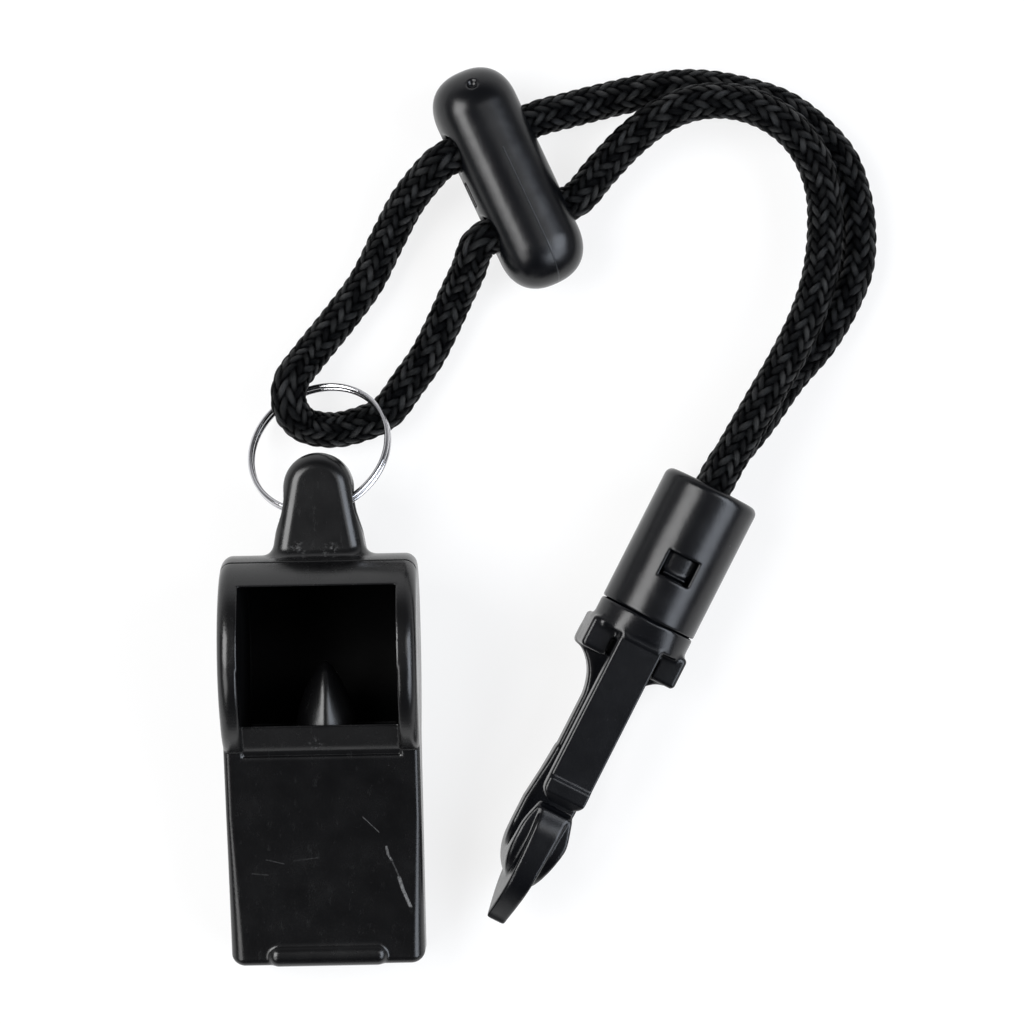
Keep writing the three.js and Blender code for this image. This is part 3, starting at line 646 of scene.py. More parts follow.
def make_cord():
    spacing = BUNDLE_PITCH / STEPS_PER_BUNDLE
    path, length = smooth_path(cord_route(), spacing)
    sides, ups = carried_frames(path)
    count_around = BUNDLES * STEPS_PER_BUNDLE
    around = np.arange(count_around) / STEPS_PER_BUNDLE
    along = np.arange(len(path)) / STEPS_PER_BUNDLE
    height, across, strand = braid_relief(around[None, :], along[:, None])
    top = height.max()
    radius = CORD_DIAMETER / 2 - top + height
    angle = 2 * np.pi * np.arange(count_around) / count_around
    ring = np.cos(angle)[None, :, None] * sides[:, None, :] + np.sin(angle)[None, :, None] * ups[:, None, :]
    points = path[:, None, :] + radius[:, :, None] * ring
    faces = sleeve_faces(*points.shape[:2])
    cord = mesh_object("braided_cord", points.reshape(-1, 3), faces, INTO_FRAME)
    # depth is 1 on the tops of the bundles and 0 where they dive; the material paints shade by it.
    paint(cord, "depth", ((height - height.min()) / (top - height.min())).ravel())
    paint(cord, "filament", across.ravel())
    paint(cord, "tint", (np.sin(strand * 12.9898) * 0.5 + 0.5).ravel())
    dress(cord, BRAID, "lanyard", "cord_braid", "cord")


# Whistle
MOUTH_REACH = 31.1
MOUTH_TOP = 7.9
MOUTH_UNDER = 0.9
TIP_ROUND = 0.9
CREST_HEIGHT = 13.5
EDGE_PLACES = (-31, -28, -16, -9.5, -6)
EDGE_ROUNDS = (1.4, 1.3, 0.65, 0.65, 1.2)
BAR_HALF = 6.05
BAR_RADIUS = 1.15
BAR_PLACE = 1.05 - MOUTH_REACH
SIDE_WALL = 2
CHAMBER_RADIUS = 8.3
WINDOW_FRONT = -6.7
WINDOW_BACK = 7
RAMP_FOOT = (WINDOW_FRONT - 3.05, 13.1)
RAMP_TOP = (WINDOW_FRONT, 15.5)
SEAM_HEIGHT = 11.4
SEAM_SLOPE = 0.235
SEAM_GAP = 0.07
TONGUE_DEPTH = 0.5
TONGUE_HEIGHT = 0.35
TONGUE_GAP = 0.03
INNER_HALF = WHISTLE_WIDTH / 2 - SIDE_WALL
HOLE_REACH = LUG_REACH - 4.95
HOLE_HEIGHT = 8.7
HOLE_RADIUS = 1.9
LUG_DOME = 3.45
LUG_ROOT = (4.75, 9.7)
LUG_THICKNESS = 6.6
LUG_EDGE = 1.7
LUG_BLEND = 1.1
BAR_BLEND = 0.25
UPPER_BAR_HEIGHT = MOUTH_TOP - 0.45
LOWER_BAR_HEIGHT = 1.2
RAMP_EDGE = 0.45
HOLLOW_EDGE = 0.16
SEAM_EDGE = 0.12
HOLE_EDGE = 0.2
HOLE_FLARE = 0.54
FLOOR_WALL = 1.5
TOP_HOLLOW = 0.6
UNDERSIDE_RISE = 0.2
CONTACT_ANGLE = -145


def underside(y):
    return MOUTH_UNDER + UNDERSIDE_RISE * (y + MOUTH_REACH - TIP_ROUND)


def whistle_outline():
    r = BARREL_RADIUS
    crest_angle = 180 - math.degrees(math.asin((CREST_HEIGHT - r) / r))
    barrel = arc_points((0, r), (r, r), CONTACT_ANGLE, crest_angle, 120)
    crest, contact = barrel[-1], barrel[0]
    tip_back = TIP_ROUND - MOUTH_REACH
    tip_top = (tip_back, MOUTH_TOP)
    hollow = ((crest[0] + tip_top[0]) / 2, (crest[1] + tip_top[1]) / 2 - TOP_HOLLOW)
    top = bend_points(crest, hollow, tip_top, 16)
    upper = arc_points((tip_back, MOUTH_TOP - TIP_ROUND), (TIP_ROUND, TIP_ROUND), 90, 180, 6)[1:]
    lower = arc_points((tip_back, MOUTH_UNDER + TIP_ROUND), (TIP_ROUND, TIP_ROUND), 180, 270, 6)
    start = (contact[0] - 4, underside(contact[0] - 4))
    fillet = bend_points(start, (contact[0] - 0.45, underside(contact[0])), contact, 8)[:-1]
    return [*barrel, *top, *upper, *lower, start, *fillet]


def roof_line():
    return ((-MOUTH_REACH - 1.2, 6.0), (RAMP_FOOT[0] - 1, 11.5), (WINDOW_FRONT, 14.4))


def mouth_hollow():
    mouth, bend, end = roof_line()
    floor = [(y, underside(y) + FLOOR_WALL) for y in (mouth[0], end[0])]
    return [*floor, end, bend, mouth]


def lug_outline():
    middle = LUG_REACH - LUG_DOME
    dome = arc_points((0, middle), (LUG_DOME, LUG_DOME), 10, 170, 24)
    half, reach = LUG_ROOT
    return [(-half, reach), (-half, 5), (half, 5), (half, reach), *dome]


OUTLINE = whistle_outline()
LUG_PLAN = lug_outline()
MOUTH_HOLLOW = mouth_hollow()


def whistle_field(x, y, z):
    r = BARREL_RADIUS
    edge = np.interp(y, EDGE_PLACES, EDGE_ROUNDS)
    body = pushed_out(outline_field(y, z, OUTLINE), x, WHISTLE_WIDTH / 2, edge)
    lug = pushed_out(outline_field(x, y, LUG_PLAN), z - HOLE_HEIGHT, LUG_THICKNESS / 2, LUG_EDGE)
    body = blunt_min(body, lug, LUG_BLEND)
    for height in (UPPER_BAR_HEIGHT, LOWER_BAR_HEIGHT):
        bar = bar_field(x, y, z, BAR_HALF, BAR_RADIUS, BAR_PLACE, height)
        body = blunt_min(body, bar, BAR_BLEND)
    width = np.abs(x) - INNER_HALF
    chamber = np.maximum(np.sqrt(y * y + (z - r) ** 2) - CHAMBER_RADIUS, width)
    window = np.maximum(np.maximum(WINDOW_FRONT - y, y - WINDOW_BACK), np.maximum(r - z, width))
    slope = math.hypot(RAMP_TOP[0] - RAMP_FOOT[0], RAMP_TOP[1] - RAMP_FOOT[1])
    across = ((RAMP_TOP[1] - RAMP_FOOT[1]) / slope, (RAMP_FOOT[0] - RAMP_TOP[0]) / slope)
    above = across[0] * (y - RAMP_FOOT[0]) + across[1] * (z - RAMP_FOOT[1])
    ramp = np.maximum(np.maximum(above, RAMP_FOOT[0] - y), np.maximum(y, width))
    mouth = np.maximum(outline_field(y, z, MOUTH_HOLLOW), width)
    hollow = np.minimum(np.minimum(chamber, window), mouth)
    flare = HOLE_RADIUS + HOLE_FLARE * np.maximum(np.abs(x) - LUG_DOME + 1.0, 0) ** 1.5
    hole = np.sqrt((y - HOLE_REACH) ** 2 + (z - HOLE_HEIGHT) ** 2) - flare
    body = blunt_max(blunt_max(body, -ramp, RAMP_EDGE), -hollow, HOLLOW_EDGE)
    return blunt_max(body, -np.maximum(hole, HOLE_REACH - 5 - y), HOLE_EDGE)


def shell_field(side):
    """The half above or below the seam; a tongue inside the wall closes the seam to light."""
    def field(x, y, z):
        seam = (z - SEAM_HEIGHT - SEAM_SLOPE * y) / math.hypot(1, SEAM_SLOPE)
        whole = whistle_field(x, y, z)
        half = blunt_max(whole, SEAM_GAP / 2 - side * seam, SEAM_EDGE)
        tongue = np.maximum(whole + TONGUE_DEPTH, np.abs(seam) - TONGUE_HEIGHT)
        if side < 0:
            return np.minimum(half, tongue)
        return np.maximum(half, TONGUE_GAP - tongue)
    return field


def inner_wall(points):
    """1 on the walls of the chamber and of the mouthpiece's hollow, 0 outside; where it is 1 the material
    paints shade.
    """
    x, y, z = points.T
    chamber = np.hypot(y, z - BARREL_RADIUS) < CHAMBER_RADIUS + 0.3
    mouth = outline_field(y, z, MOUTH_HOLLOW) < 0.3
    return (chamber | mouth) & (np.abs(x) < INNER_HALF + 0.1) & (y > 1 - MOUTH_REACH)


def make_whistle():
    half = WHISTLE_WIDTH / 2 + 0.5
    for side, name, low, high in ((1, "upper_shell", 4, 20.5), (-1, "lower_shell", -0.5, 17)):
        corners = (-half, -MOUTH_REACH - 0.6, low), (half, LUG_REACH + 0.6, high)
        piece, points = mould(name, shell_field(side), *corners, SHELL_STEP, INTO_FRAME,
                              GLOSS, "whistle", "whistle_plastic", name)
        # The inner walls of the chamber and the mouthpiece get painted shade.
        paint(piece, "inner", inner_wall(points))


# Insert: a wedge in the mouthpiece and the splitter, whose ridge is seen through the window
INSERT_REACH = 24
INSERT_NOSE = 0.5
INSERT_LIFT = FLOOR_WALL + 0.3
WINDWAY_BEND = (-10.75, 10.2)
WINDWAY_EXIT_HEIGHT = 12.4
SPLITTER_LENGTH = 7.8
SPLITTER_HEIGHT = 10.5
SPLITTER_HALF_HEIGHT = 2.6
SPLITTER_OFFSET = 0.4
RIDGE_ROUND = 0.4
RIDGE_SPREAD = 2.75


def make_insert():
    r = BARREL_RADIUS
    front = underside(-INSERT_REACH) + INSERT_LIFT
    wedge_line = [WINDWAY_BEND, (-INSERT_REACH, front + INSERT_NOSE), (-INSERT_REACH, front)]
    foot = (-CHAMBER_RADIUS * 0.82, underside(-CHAMBER_RADIUS) + INSERT_LIFT)
    rear = arc_points((0, r), (CHAMBER_RADIUS, CHAMBER_RADIUS), 214, 163, 24)
    outline = [*wedge_line, foot, *rear[2:]]
    root = -CHAMBER_RADIUS

    def field(x, y, z):
        wedge = pushed_out(outline_field(y, z, outline), x, INNER_HALF - 0.3, 0.1)
        ridge = (np.hypot(x - SPLITTER_OFFSET, RIDGE_ROUND) - RIDGE_ROUND) / RIDGE_SPREAD
        lift = (z - SPLITTER_HEIGHT) / SPLITTER_HALF_HEIGHT
        scaled = np.sqrt(ridge + ((y - root) / SPLITTER_LENGTH) ** 2 + lift**2)
        splitter = (scaled - 1) * SPLITTER_HALF_HEIGHT * np.clip(scaled, 0.4, 1)
        behind = np.where(z < WINDWAY_EXIT_HEIGHT, root - 0.3 - y, root + 0.7 - y)
        splitter = np.maximum(splitter, behind)
        return blunt_min(wedge, splitter, 0.3)

    low = (-INNER_HALF - 0.4, -INSERT_REACH - 0.6, 1)
    high = (INNER_HALF + 0.4, 0.4, 14)
    piece, points = mould("windway_insert", field, low, high, PIECE_STEP, INTO_FRAME,
                          GLOSS, "whistle", "whistle_plastic", "windway_insert")
    # Below 9 mm the insert lies inside the mouthpiece and gets most of the painted shade; the splitter's
    # ridge above gets none.
    paint(piece, "inner", np.where(points[:, 2] > 9, 0, 0.9))


# Split ring: two turns of wire that lie against each other
RING_RADIUS = 7.2
RING_WIRE = 0.27
RING_PITCH = 0.6
RING_CROSSOVER = math.radians(22)
RING_START = math.radians(242)
RING_CENTRE = Vector((-0.04, HOLE_REACH + 5.4, 5.45))
RING_TURN = Matrix.Rotation(math.radians(28), 4, "Z") @ Matrix.Rotation(math.radians(-33), 4, "X")
RING_STEPS = 420
RING_SIDES = 14


def make_ring():
    angle = np.linspace(RING_CROSSOVER, 4 * math.pi - RING_CROSSOVER, RING_STEPS)
    across = np.clip((angle - 2 * math.pi) / RING_CROSSOVER, -1, 1)
    turn = angle + RING_START
    lift = RING_PITCH / 2 * np.sin(across * math.pi / 2)
    path = np.stack([RING_RADIUS * np.cos(turn), RING_RADIUS * np.sin(turn), lift], axis=1)
    outward = np.stack([np.cos(turn), np.sin(turn), np.zeros(RING_STEPS)], axis=1)
    upward = np.array([0.0, 0.0, 1.0])
    around = 2 * math.pi * np.arange(RING_SIDES) / RING_SIDES
    step = np.arange(RING_STEPS)
    to_end = np.minimum(step, RING_STEPS - 1 - step)
    radius = RING_WIRE * np.minimum(1, np.sqrt(to_end / 3) + 0.4)
    offset = (np.cos(around)[None, :, None] * outward[:, None, :]
              + np.sin(around)[None, :, None] * upward[None, None, :])
    points = path[:, None, :] + radius[:, None, None] * offset
    ring = mesh_object("wound_ring", points.reshape(-1, 3), sleeve_faces(RING_STEPS, RING_SIDES),
                       INTO_FRAME @ Matrix.Translation(RING_CENTRE) @ RING_TURN)
    close_ends(ring, RING_SIDES)
    dress(ring, STEEL, "ring", "ring_steel", "split_ring")


# Slider: a bean with a hole for each strand, a slot between them and a parting line down its middle
SLIDER_LENGTH = 23.4
SLIDER_THICKNESS = 8.6
SLIDER_FULLNESS = 2.4
SLIDER_SHIFT = Vector((-0.15, 0.2, 0))
SLIDER_PLACE = INTO_FRAME @ Matrix.Translation(SLIDER_CENTRE + SLIDER_SHIFT) @ SLIDER_TURN.to_4x4()
CORD_HOLE = 1.98
SLOT_HALF_LENGTH = 1.3
SLOT_HALF_WIDTH = 0.5
SLOT_FLOOR = 1.25
GATE_MARK = (0.0, 9.8, 3.6)
GATE_MARK_RADIUS = 0.55
PARTING_END = 2.8


def slider_field(x, y, z):
    half = SLIDER_THICKNESS / 2
    beyond = np.maximum(np.abs(y) - SLIDER_LENGTH / 2 + half, 0)
    across = (np.abs(x) * 2 / SLIDER_WIDTH) ** SLIDER_FULLNESS
    upright = (np.sqrt(beyond**2 + z * z) / half) ** SLIDER_FULLNESS
    body = (np.maximum(across + upright, 1e-6) ** (1 / SLIDER_FULLNESS) - 1) * half
    hole = np.sqrt((np.abs(y) - SLIDER_HOLE_SPACING / 2) ** 2 + z * z) - CORD_HOLE
    body = blunt_max(body, -hole, 0.4)
    slot_low = (SLOT_FLOOR, -SLOT_HALF_LENGTH, -SLOT_HALF_WIDTH)
    slot = box_field(np.abs(x), y, z, slot_low, (6, SLOT_HALF_LENGTH, SLOT_HALF_WIDTH), 0.1)
    body = blunt_max(body, -slot, 0.2)
    from_mark = (x - GATE_MARK[0]) ** 2 + (y - GATE_MARK[1]) ** 2 + (z - GATE_MARK[2]) ** 2
    return blunt_max(body, GATE_MARK_RADIUS - np.sqrt(from_mark), 0.15)


def make_slider():
    """The parting line is painted on one half, as it shows in the photograph, as a lighter line that is a
    painted glint along it.
    """
    low = (-SLIDER_WIDTH / 2 - 0.4, -SLIDER_LENGTH / 2 - 0.4, -SLIDER_THICKNESS / 2 - 0.4)
    high = tuple(-c for c in low)
    slider, points = mould("slider", slider_field, low, high, PIECE_STEP, SLIDER_PLACE,
                           SATIN, "slider", "fitting_plastic", "cord_slider")
    paint(slider, "parting", np.where(points[:, 1] < PARTING_END, PARTING + points[:, 0], 0))


# Cap and plug: both turned about the hook's axis
CAP_LENGTH = 14.55
CAP_RIM = 0.8
CAP_BORE = CORD_DIAMETER + STRAND_GAP / 2 + 0.25
CAP_WINDOW = (3.2, 2.7)
CAP_WINDOW_PLACE = -8.85
HOOK_AXIS = INTO_FRAME @ Matrix.Translation(CAP_MOUTH) @ HOOK_TURN.to_4x4()
CAP_PLACE = HOOK_AXIS @ Matrix.Rotation(math.radians(5), 4, "Y")
PLUG_FOOT = 0.5 - CAP_LENGTH
SPIGOT_RADIUS = 4.6
SPIGOT_LENGTH = 0.45
CAP_FOOT_EDGE = 0.2
BORE_EDGE = 0.4
CAP_WINDOW_EDGE = 0.22
BARB_HALF = 1.3
BARB_SLOPE = 0.9
HEAD_ROOM = (3.15, 1.3)
NECK_ROOM = 2.15
HEAD_HEIGHT = 3


def cap_field(x, y, z):
    middle = CAP_LENGTH / 2
    radial = np.sqrt(x * x + z * z)
    rim = pushed_out(radial - CAP_RADIUS, y + middle, middle, CAP_RIM)
    foot = pushed_out(radial - CAP_RADIUS, y + middle, middle, CAP_FOOT_EDGE)
    body = np.where(y > -middle, rim, foot)
    body = blunt_max(body, CAP_BORE - radial, BORE_EDGE)
    spigot = np.maximum(radial - SPIGOT_RADIUS - 0.06, y + CAP_LENGTH - SPIGOT_LENGTH)
    body = blunt_max(body, -spigot, 0.05)
    window = np.maximum(np.abs(x) - CAP_WINDOW[0] / 2, np.abs(y - CAP_WINDOW_PLACE) - CAP_WINDOW[1] / 2)
    return blunt_max(body, -window, CAP_WINDOW_EDGE)


def plug_field(x, y, z):
    radial = np.sqrt(x * x + z * z)
    middle = (PLUG_FOOT - PLUG_TOP) / 2
    body = pushed_out(radial - CAP_BORE + 0.2, y - middle, middle - PLUG_FOOT, 0.3)
    foot = CAP_WINDOW_PLACE - CAP_WINDOW[1] / 2 + 0.3
    slope = np.abs(z) - (CAP_RADIUS - 0.8) + BARB_SLOPE * (y - foot)
    barb = box_field(x, y, z, (-BARB_HALF, foot, -5), (BARB_HALF, foot + 1.1, 5), 0.1)
    barb = np.maximum(barb, slope)
    body = blunt_min(body, barb, 0.15)
    head = np.maximum(radial - HEAD_ROOM[0], np.abs(y - PLUG_FOOT - HEAD_HEIGHT) - HEAD_ROOM[1])
    neck = np.maximum(radial - NECK_ROOM, y - PLUG_FOOT - HEAD_HEIGHT)
    return np.maximum(body, -np.minimum(head, neck))


def make_cap():
    reach = CAP_RADIUS + 0.4
    mould("cap", cap_field, (-reach, -CAP_LENGTH - 0.4, -reach), (reach, 0.4, reach), PIECE_STEP,
          CAP_PLACE, SATIN, "lanyard", "fitting_plastic", "hook_cap")
    mould("plug", plug_field, (-reach, PLUG_FOOT - 0.4, -reach), (reach, 0.4 - PLUG_TOP, reach), PLUG_STEP,
          CAP_PLACE, SATIN, "lanyard", "fitting_plastic", "cord_plug")


# Hook: in its own frame Y runs back towards the cap's mouth and Z towards the gate
HOOK_PLACE = HOOK_AXIS @ Matrix.Rotation(math.radians(6.5), 4, "Y")
COLLAR_TOP = -CAP_LENGTH - 0.1
COLLAR_FOOT = -CAP_LENGTH - 2.6
SHOULDER_HALF = 5.25
SHOULDER_FOOT = COLLAR_FOOT - 2.8
SPINE_HALF = 1.9
SPINE_BACK = -4.3
SPINE_FRONT = -2.2
THROAT = 4.9
NOSE_BACK = SPINE_FRONT + THROAT
NOSE_FRONT = NOSE_BACK + 1.4
BEND = -38.8
GATE_HALF = 2.35
GATE_END = -35.3
GATE_FRONT = NOSE_BACK + 1.7
GATE_TOP = COLLAR_FOOT + 0.5
NOSE_TIP = GATE_END - 0.35
KEEL_TIP = BEND - 9.5
FLARE_HALF = 4.95
FLARE_LENGTH = 4.6
FLANGE_TOP = BEND + 8.5


def mirror(right):
    return [*right, *[(-u, v) for u, v in reversed(right)]]


def spine_plan():
    corner = (FLARE_HALF, SHOULDER_FOOT)
    flare = bend_points(corner, (SPINE_HALF + 0.35, SHOULDER_FOOT - 1.1),
                        (SPINE_HALF, SHOULDER_FOOT - FLARE_LENGTH), 14)
    right = [(SPINE_HALF, BEND + 6), *reversed(flare), corner, (FLARE_HALF, SHOULDER_FOOT + 1.5)]
    return mirror(right)


def flange_side():
    middle = SPINE_FRONT + THROAT / 2
    inner = arc_points((BEND, middle), (THROAT / 2, THROAT / 2), 270, 90, 24)
    centre = (NOSE_FRONT + SPINE_BACK) / 2
    outer = arc_points((BEND, centre), (5.6, (NOSE_FRONT - SPINE_BACK) / 2), 90, 270, 32)
    return [(FLANGE_TOP, SPINE_BACK), (FLANGE_TOP, SPINE_FRONT), *inner, (NOSE_TIP, NOSE_BACK),
            (NOSE_TIP, NOSE_FRONT - 0.5), (NOSE_TIP - 0.6, NOSE_FRONT), *outer]


def keel_side():
    return spline_points([(BEND + 2, SPINE_BACK + 0.6), (BEND - 5.3, SPINE_BACK * 0.75), (KEEL_TIP, 0.2),
                          (KEEL_TIP + 0.3, 1.4), (BEND - 5.3, NOSE_FRONT + 0.3), (BEND, NOSE_FRONT + 0.8),
                          (NOSE_TIP - 0.5, NOSE_FRONT + 0.1)], 10)


LOBE_HALF = 3.0
FLANGE_HALF = 2.55
LOBE_START = (LOBE_HALF, BEND + 4)
LOBE_ARC = bend_points(LOBE_START, (2.9, BEND - 2.4), (1.1, BEND - 7), 12)
FLANGE_ARC = arc_points((0, BEND - 1.4), (FLANGE_HALF, 4.4), 270, 180, 16)
FLANGE_PLAN = [(-SPINE_HALF, FLANGE_TOP), (SPINE_HALF, FLANGE_TOP), (LOBE_HALF - 0.4, BEND + 5.6),
               LOBE_START, *LOBE_ARC, *FLANGE_ARC, (-FLANGE_HALF, BEND + 2.4)]
SPINE_PLAN = spine_plan()
FLANGE_SIDE = flange_side()
KEEL_SIDE = keel_side()


STEM_RADIUS = 1.8
STEM_HEAD_RADIUS = 2.8
SHOULDER_BACK = -3.8
SHOULDER_FRONT = 2.7
SHOULDER_EDGE = 0.45
TROUGH_RADIUS = 3.9
HOOK_EDGE = 0.3
ROOT_FOOT = COLLAR_FOOT - 0.8
ROOT_HALF = GATE_HALF + 0.06
ROOT_SLOPE = (CAP_RADIUS - GATE_FRONT) / (COLLAR_TOP - ROOT_FOOT)
KEEL_WIDTHS = ((KEEL_TIP, 1.0), (BEND, 1.35), (NOSE_TIP, 1.6))
NOSE_HALF = 1.8


def hook_field(x, y, z):
    collar = rod_field(x, z, y, CAP_RADIUS, COLLAR_FOOT, COLLAR_TOP, 0.25)
    spigot = rod_field(x, z, y, SPIGOT_RADIUS, COLLAR_TOP - 0.5, SPIGOT_LENGTH - CAP_LENGTH - 0.1, 0.05)
    stem = rod_field(x, z, y, STEM_RADIUS, COLLAR_TOP - 1, PLUG_FOOT + 2.4, 0.1)
    head = rod_field(x, z, y, STEM_HEAD_RADIUS, PLUG_FOOT + 1.95, PLUG_FOOT + 4, 0.4)
    stem = np.minimum(stem, head)
    block = box_field(x, y, z, (-SHOULDER_HALF, SHOULDER_FOOT, SHOULDER_BACK),
                      (SHOULDER_HALF, COLLAR_FOOT + 0.55, SHOULDER_FRONT), SHOULDER_EDGE)
    trough = rod_field(x, z + 0.4, y, TROUGH_RADIUS, SHOULDER_FOOT + 0.4, COLLAR_FOOT + 0.2, 0.2)
    block = blunt_max(block, -np.maximum(trough, 1.2 - z), HOOK_EDGE)
    relief = np.maximum(np.abs(x) - GATE_HALF - 0.2, np.maximum(y - COLLAR_FOOT + 0.9, 1.5 - z))
    block = blunt_max(block, -relief, HOOK_EDGE)
    spine = pushed_out(outline_field(x, y, SPINE_PLAN), z - (SPINE_BACK + SPINE_FRONT) / 2,
                       (SPINE_FRONT - SPINE_BACK) / 2, HOOK_EDGE)
    side = pushed_out(outline_field(y, z, FLANGE_SIDE), x, LOBE_HALF, HOOK_EDGE)
    flange = blunt_max(side, outline_field(x, y, FLANGE_PLAN), 0.4)
    middle = SPINE_FRONT + THROAT / 2
    nose_half = np.where(z > middle, NOSE_HALF + np.maximum(NOSE_TIP - y, 0) * 0.3, 9)
    flange = blunt_max(flange, np.abs(x) - nose_half, HOOK_EDGE)
    keel_half = np.interp(y, *zip(*KEEL_WIDTHS))
    keel = blunt_max(outline_field(y, z, KEEL_SIDE), np.abs(x) - keel_half, 0.35)
    throat = np.sqrt(np.minimum(y - BEND, 0) ** 2 + (z - middle) ** 2) - THROAT / 2 - 0.3
    keel = np.maximum(keel, -throat)
    seat = box_field(x, y, z, (-GATE_HALF, COLLAR_FOOT - 0.9, 0),
                     (GATE_HALF, COLLAR_FOOT + 0.5, NOSE_BACK - 0.1), 0.2)
    front = GATE_FRONT + ROOT_SLOPE * (y - ROOT_FOOT)
    root = box_field(x, y, z, (-ROOT_HALF, ROOT_FOOT, 2.9), (ROOT_HALF, COLLAR_FOOT + 0.5, 6), 0.1)
    collar = blunt_max(blunt_min(collar, root, 0.25), z - front, 0.8)
    body = blunt_min(blunt_min(collar, block, 0.5), seat, 0.3)
    body = np.minimum(np.minimum(body, stem), spigot)
    body = blunt_min(blunt_min(body, spine, 0.6), flange, 0.4)
    return blunt_min(body, keel, HOOK_EDGE)


# Gate: a strap with a slightly raised pad near its end
PAD_FRONT = GATE_FRONT + 0.2
GATE_EDGE_LEFT = 0.45
GATE_EDGE_RIGHT = 0.16
GATE_SIDE = [(GATE_TOP, NOSE_BACK), (GATE_TOP, GATE_FRONT), (GATE_END + 2.6, GATE_FRONT),
             (GATE_END + 2.2, PAD_FRONT), (GATE_END + 0.9, PAD_FRONT),
             (GATE_END, GATE_FRONT - 0.5), (GATE_END, NOSE_BACK + 0.3), (GATE_END + 0.4, NOSE_BACK)]
GATE_PLAN = [(GATE_HALF, 0), (-GATE_HALF, 0),
             *arc_points((1.7 - GATE_HALF, GATE_END + 1.7), (1.7, 1.7), 180, 270, 10),
             *arc_points((GATE_HALF - 1.3, GATE_END + 1.3), (1.3, 1.3), 270, 360, 10)]


def gate_field(x, y, z):
    edge = np.where(x < 0, GATE_EDGE_LEFT, GATE_EDGE_RIGHT)
    strap = pushed_out(outline_field(y, z, GATE_SIDE), x, GATE_HALF, edge)
    return blunt_max(strap, outline_field(x, y, GATE_PLAN), 0.25)


def make_hook():
    reach = SHOULDER_HALF + 0.5
    mould("hook", hook_field, (-reach, KEEL_TIP - 0.6, -5.6), (reach, PLUG_FOOT + 4.5, 5.8), PIECE_STEP,
          HOOK_PLACE, SATIN, "hook", "fitting_plastic", "hook_body")
    low = (-GATE_HALF - 0.4, GATE_END - 0.4, 2)
    high = (GATE_HALF + 0.4, GATE_TOP + 0.4, 5.2)
    mould("gate", gate_field, low, high, GATE_STEP,
          HOOK_PLACE, SATIN, "gate", "fitting_plastic", "hook_gate")


# Table and light
TABLE_HALF = 2500
TABLE_WHITENESS = 0.8
# Levels of the studio walls, from straight below to straight above
WALL_LEVELS = ((0.0, 0.5), (0.25, 0.32), (0.45, 0.1), (0.7, 0.05), (0.86, 0.12), (0.94, 0.26), (1.0, 0.3))
# The walls are brighter towards +Y
WALL_STRENGTHS = (("From Min", 0.2), ("From Max", 1), ("To Min", 0.55), ("To Max", 2.2))


def make_table():
    """A pale table that takes the shadows and looks nearly white to the camera."""
    corners = [(-1, -1), (1, -1), (1, 1), (-1, 1)]
    points = np.array([(x * TABLE_HALF, y * TABLE_HALF, 0) for x, y in corners])
    table = mesh_object("table", points, np.array([(0, 1, 2, 3)]), INTO_FRAME)
    shader = Shader("pale_table")
    shader.set(Roughness=0.9, Specular_IOR_Level=0.0)
    fine = shader.noise(0.5, detail=2)
    shader.set(Base_Color=shader.mix(fine, (0.82, 0.82, 0.82, 1), (0.85, 0.85, 0.85, 1)))
    light_path = shader.add("ShaderNodeLightPath")
    seen = shader.maths("MAXIMUM", light_path.outputs["Is Camera Ray"],
                        shader.maths("MAXIMUM", light_path.outputs["Is Glossy Ray"],
                                     light_path.outputs["Is Transmission Ray"]))
    white = shader.add("ShaderNodeEmission")
    blend = shader.add("ShaderNodeMixShader")
    shader.feed(blend.inputs[0], shader.maths("MULTIPLY", seen, TABLE_WHITENESS))
    shader.feed(blend.inputs[1], shader.bsdf.outputs[0])
    shader.feed(blend.inputs[2], white.outputs[0])
    shader.feed(shader.tree.nodes["Material Output"].inputs["Surface"], blend.outputs[0])
    table.data.materials.append(shader.material)


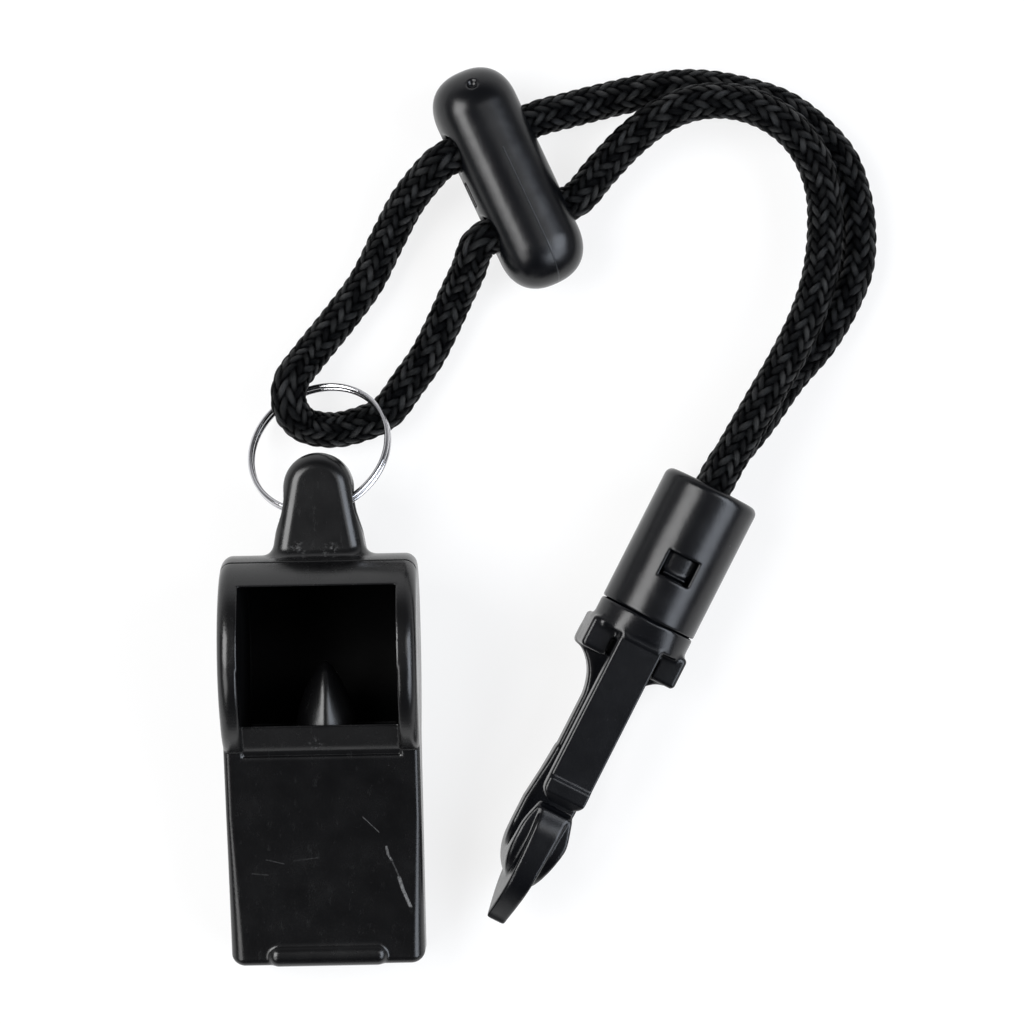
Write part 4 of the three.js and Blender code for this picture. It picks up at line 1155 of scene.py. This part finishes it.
def make_world():
    """Soft grey light from all round, with a dark belt that the glossy plastic mirrors."""
    world = bpy.data.worlds.new("studio")
    bpy.context.scene.world = world
    world.use_nodes = True
    tree = world.node_tree
    background = tree.nodes["Background"]
    place = tree.nodes.new("ShaderNodeTexCoord")
    height = tree.nodes.new("ShaderNodeSeparateXYZ")
    tree.links.new(place.outputs["Generated"], height.inputs[0])
    shade = tree.nodes.new("ShaderNodeValToRGB")
    while len(shade.color_ramp.elements) < len(WALL_LEVELS):
        shade.color_ramp.elements.new(1)
    for element, (at, level) in zip(shade.color_ramp.elements, WALL_LEVELS):
        element.position = at
        element.color = (level, level, level * 1.03, 1)
    tree.links.new(height.outputs["Z"], shade.inputs["Fac"])
    tree.links.new(shade.outputs["Color"], background.inputs["Color"])
    forward = tree.nodes.new("ShaderNodeMapRange")
    for name, value in WALL_STRENGTHS:
        forward.inputs[name].default_value = value
    tree.links.new(height.outputs["Y"], forward.inputs["Value"])
    tree.links.new(forward.outputs["Result"], background.inputs["Strength"])


def softbox(name, azimuth, elevation, distance, size, power, colour=(1, 1, 1)):
    """A flat lamp that faces the object; azimuth is measured from +X towards +Y."""
    data = bpy.data.lights.new(name, "AREA")
    data.shape = "RECTANGLE"
    data.size = size[0] * MM
    data.size_y = size[1] * MM
    data.energy = power
    data.color = colour
    lamp = bpy.data.objects.new(name, data)
    bpy.context.scene.collection.objects.link(lamp)
    turn = math.radians(azimuth)
    rise = math.radians(elevation)
    away = Vector((math.cos(turn) * math.cos(rise), math.sin(turn) * math.cos(rise), math.sin(rise)))
    target = INTO_FRAME @ Vector((*CAMERA_PLACE, 0))
    lamp.location = target + away * distance * MM
    lamp.rotation_euler = (-away).to_track_quat("-Z", "Y").to_euler()


COOL = (0.84, 0.9, 1)

make_table()
make_world()
softbox("key", 165, 50, 700, (440, 420), 5)
softbox("fill", 4, 44, 800, (480, 440), 4.2, COOL)
softbox("front_left", 212, 42, 800, (440, 420), 2.2)
softbox("front_right", 326, 36, 800, (420, 380), 2.6, COOL)
softbox("overhead", 24, 64, 900, (300, 300), 0.5)
make_cord()
make_whistle()
make_insert()
make_ring()
make_slider()
make_cap()
make_hook()

bpy.context.scene.view_settings.view_transform = "Standard"
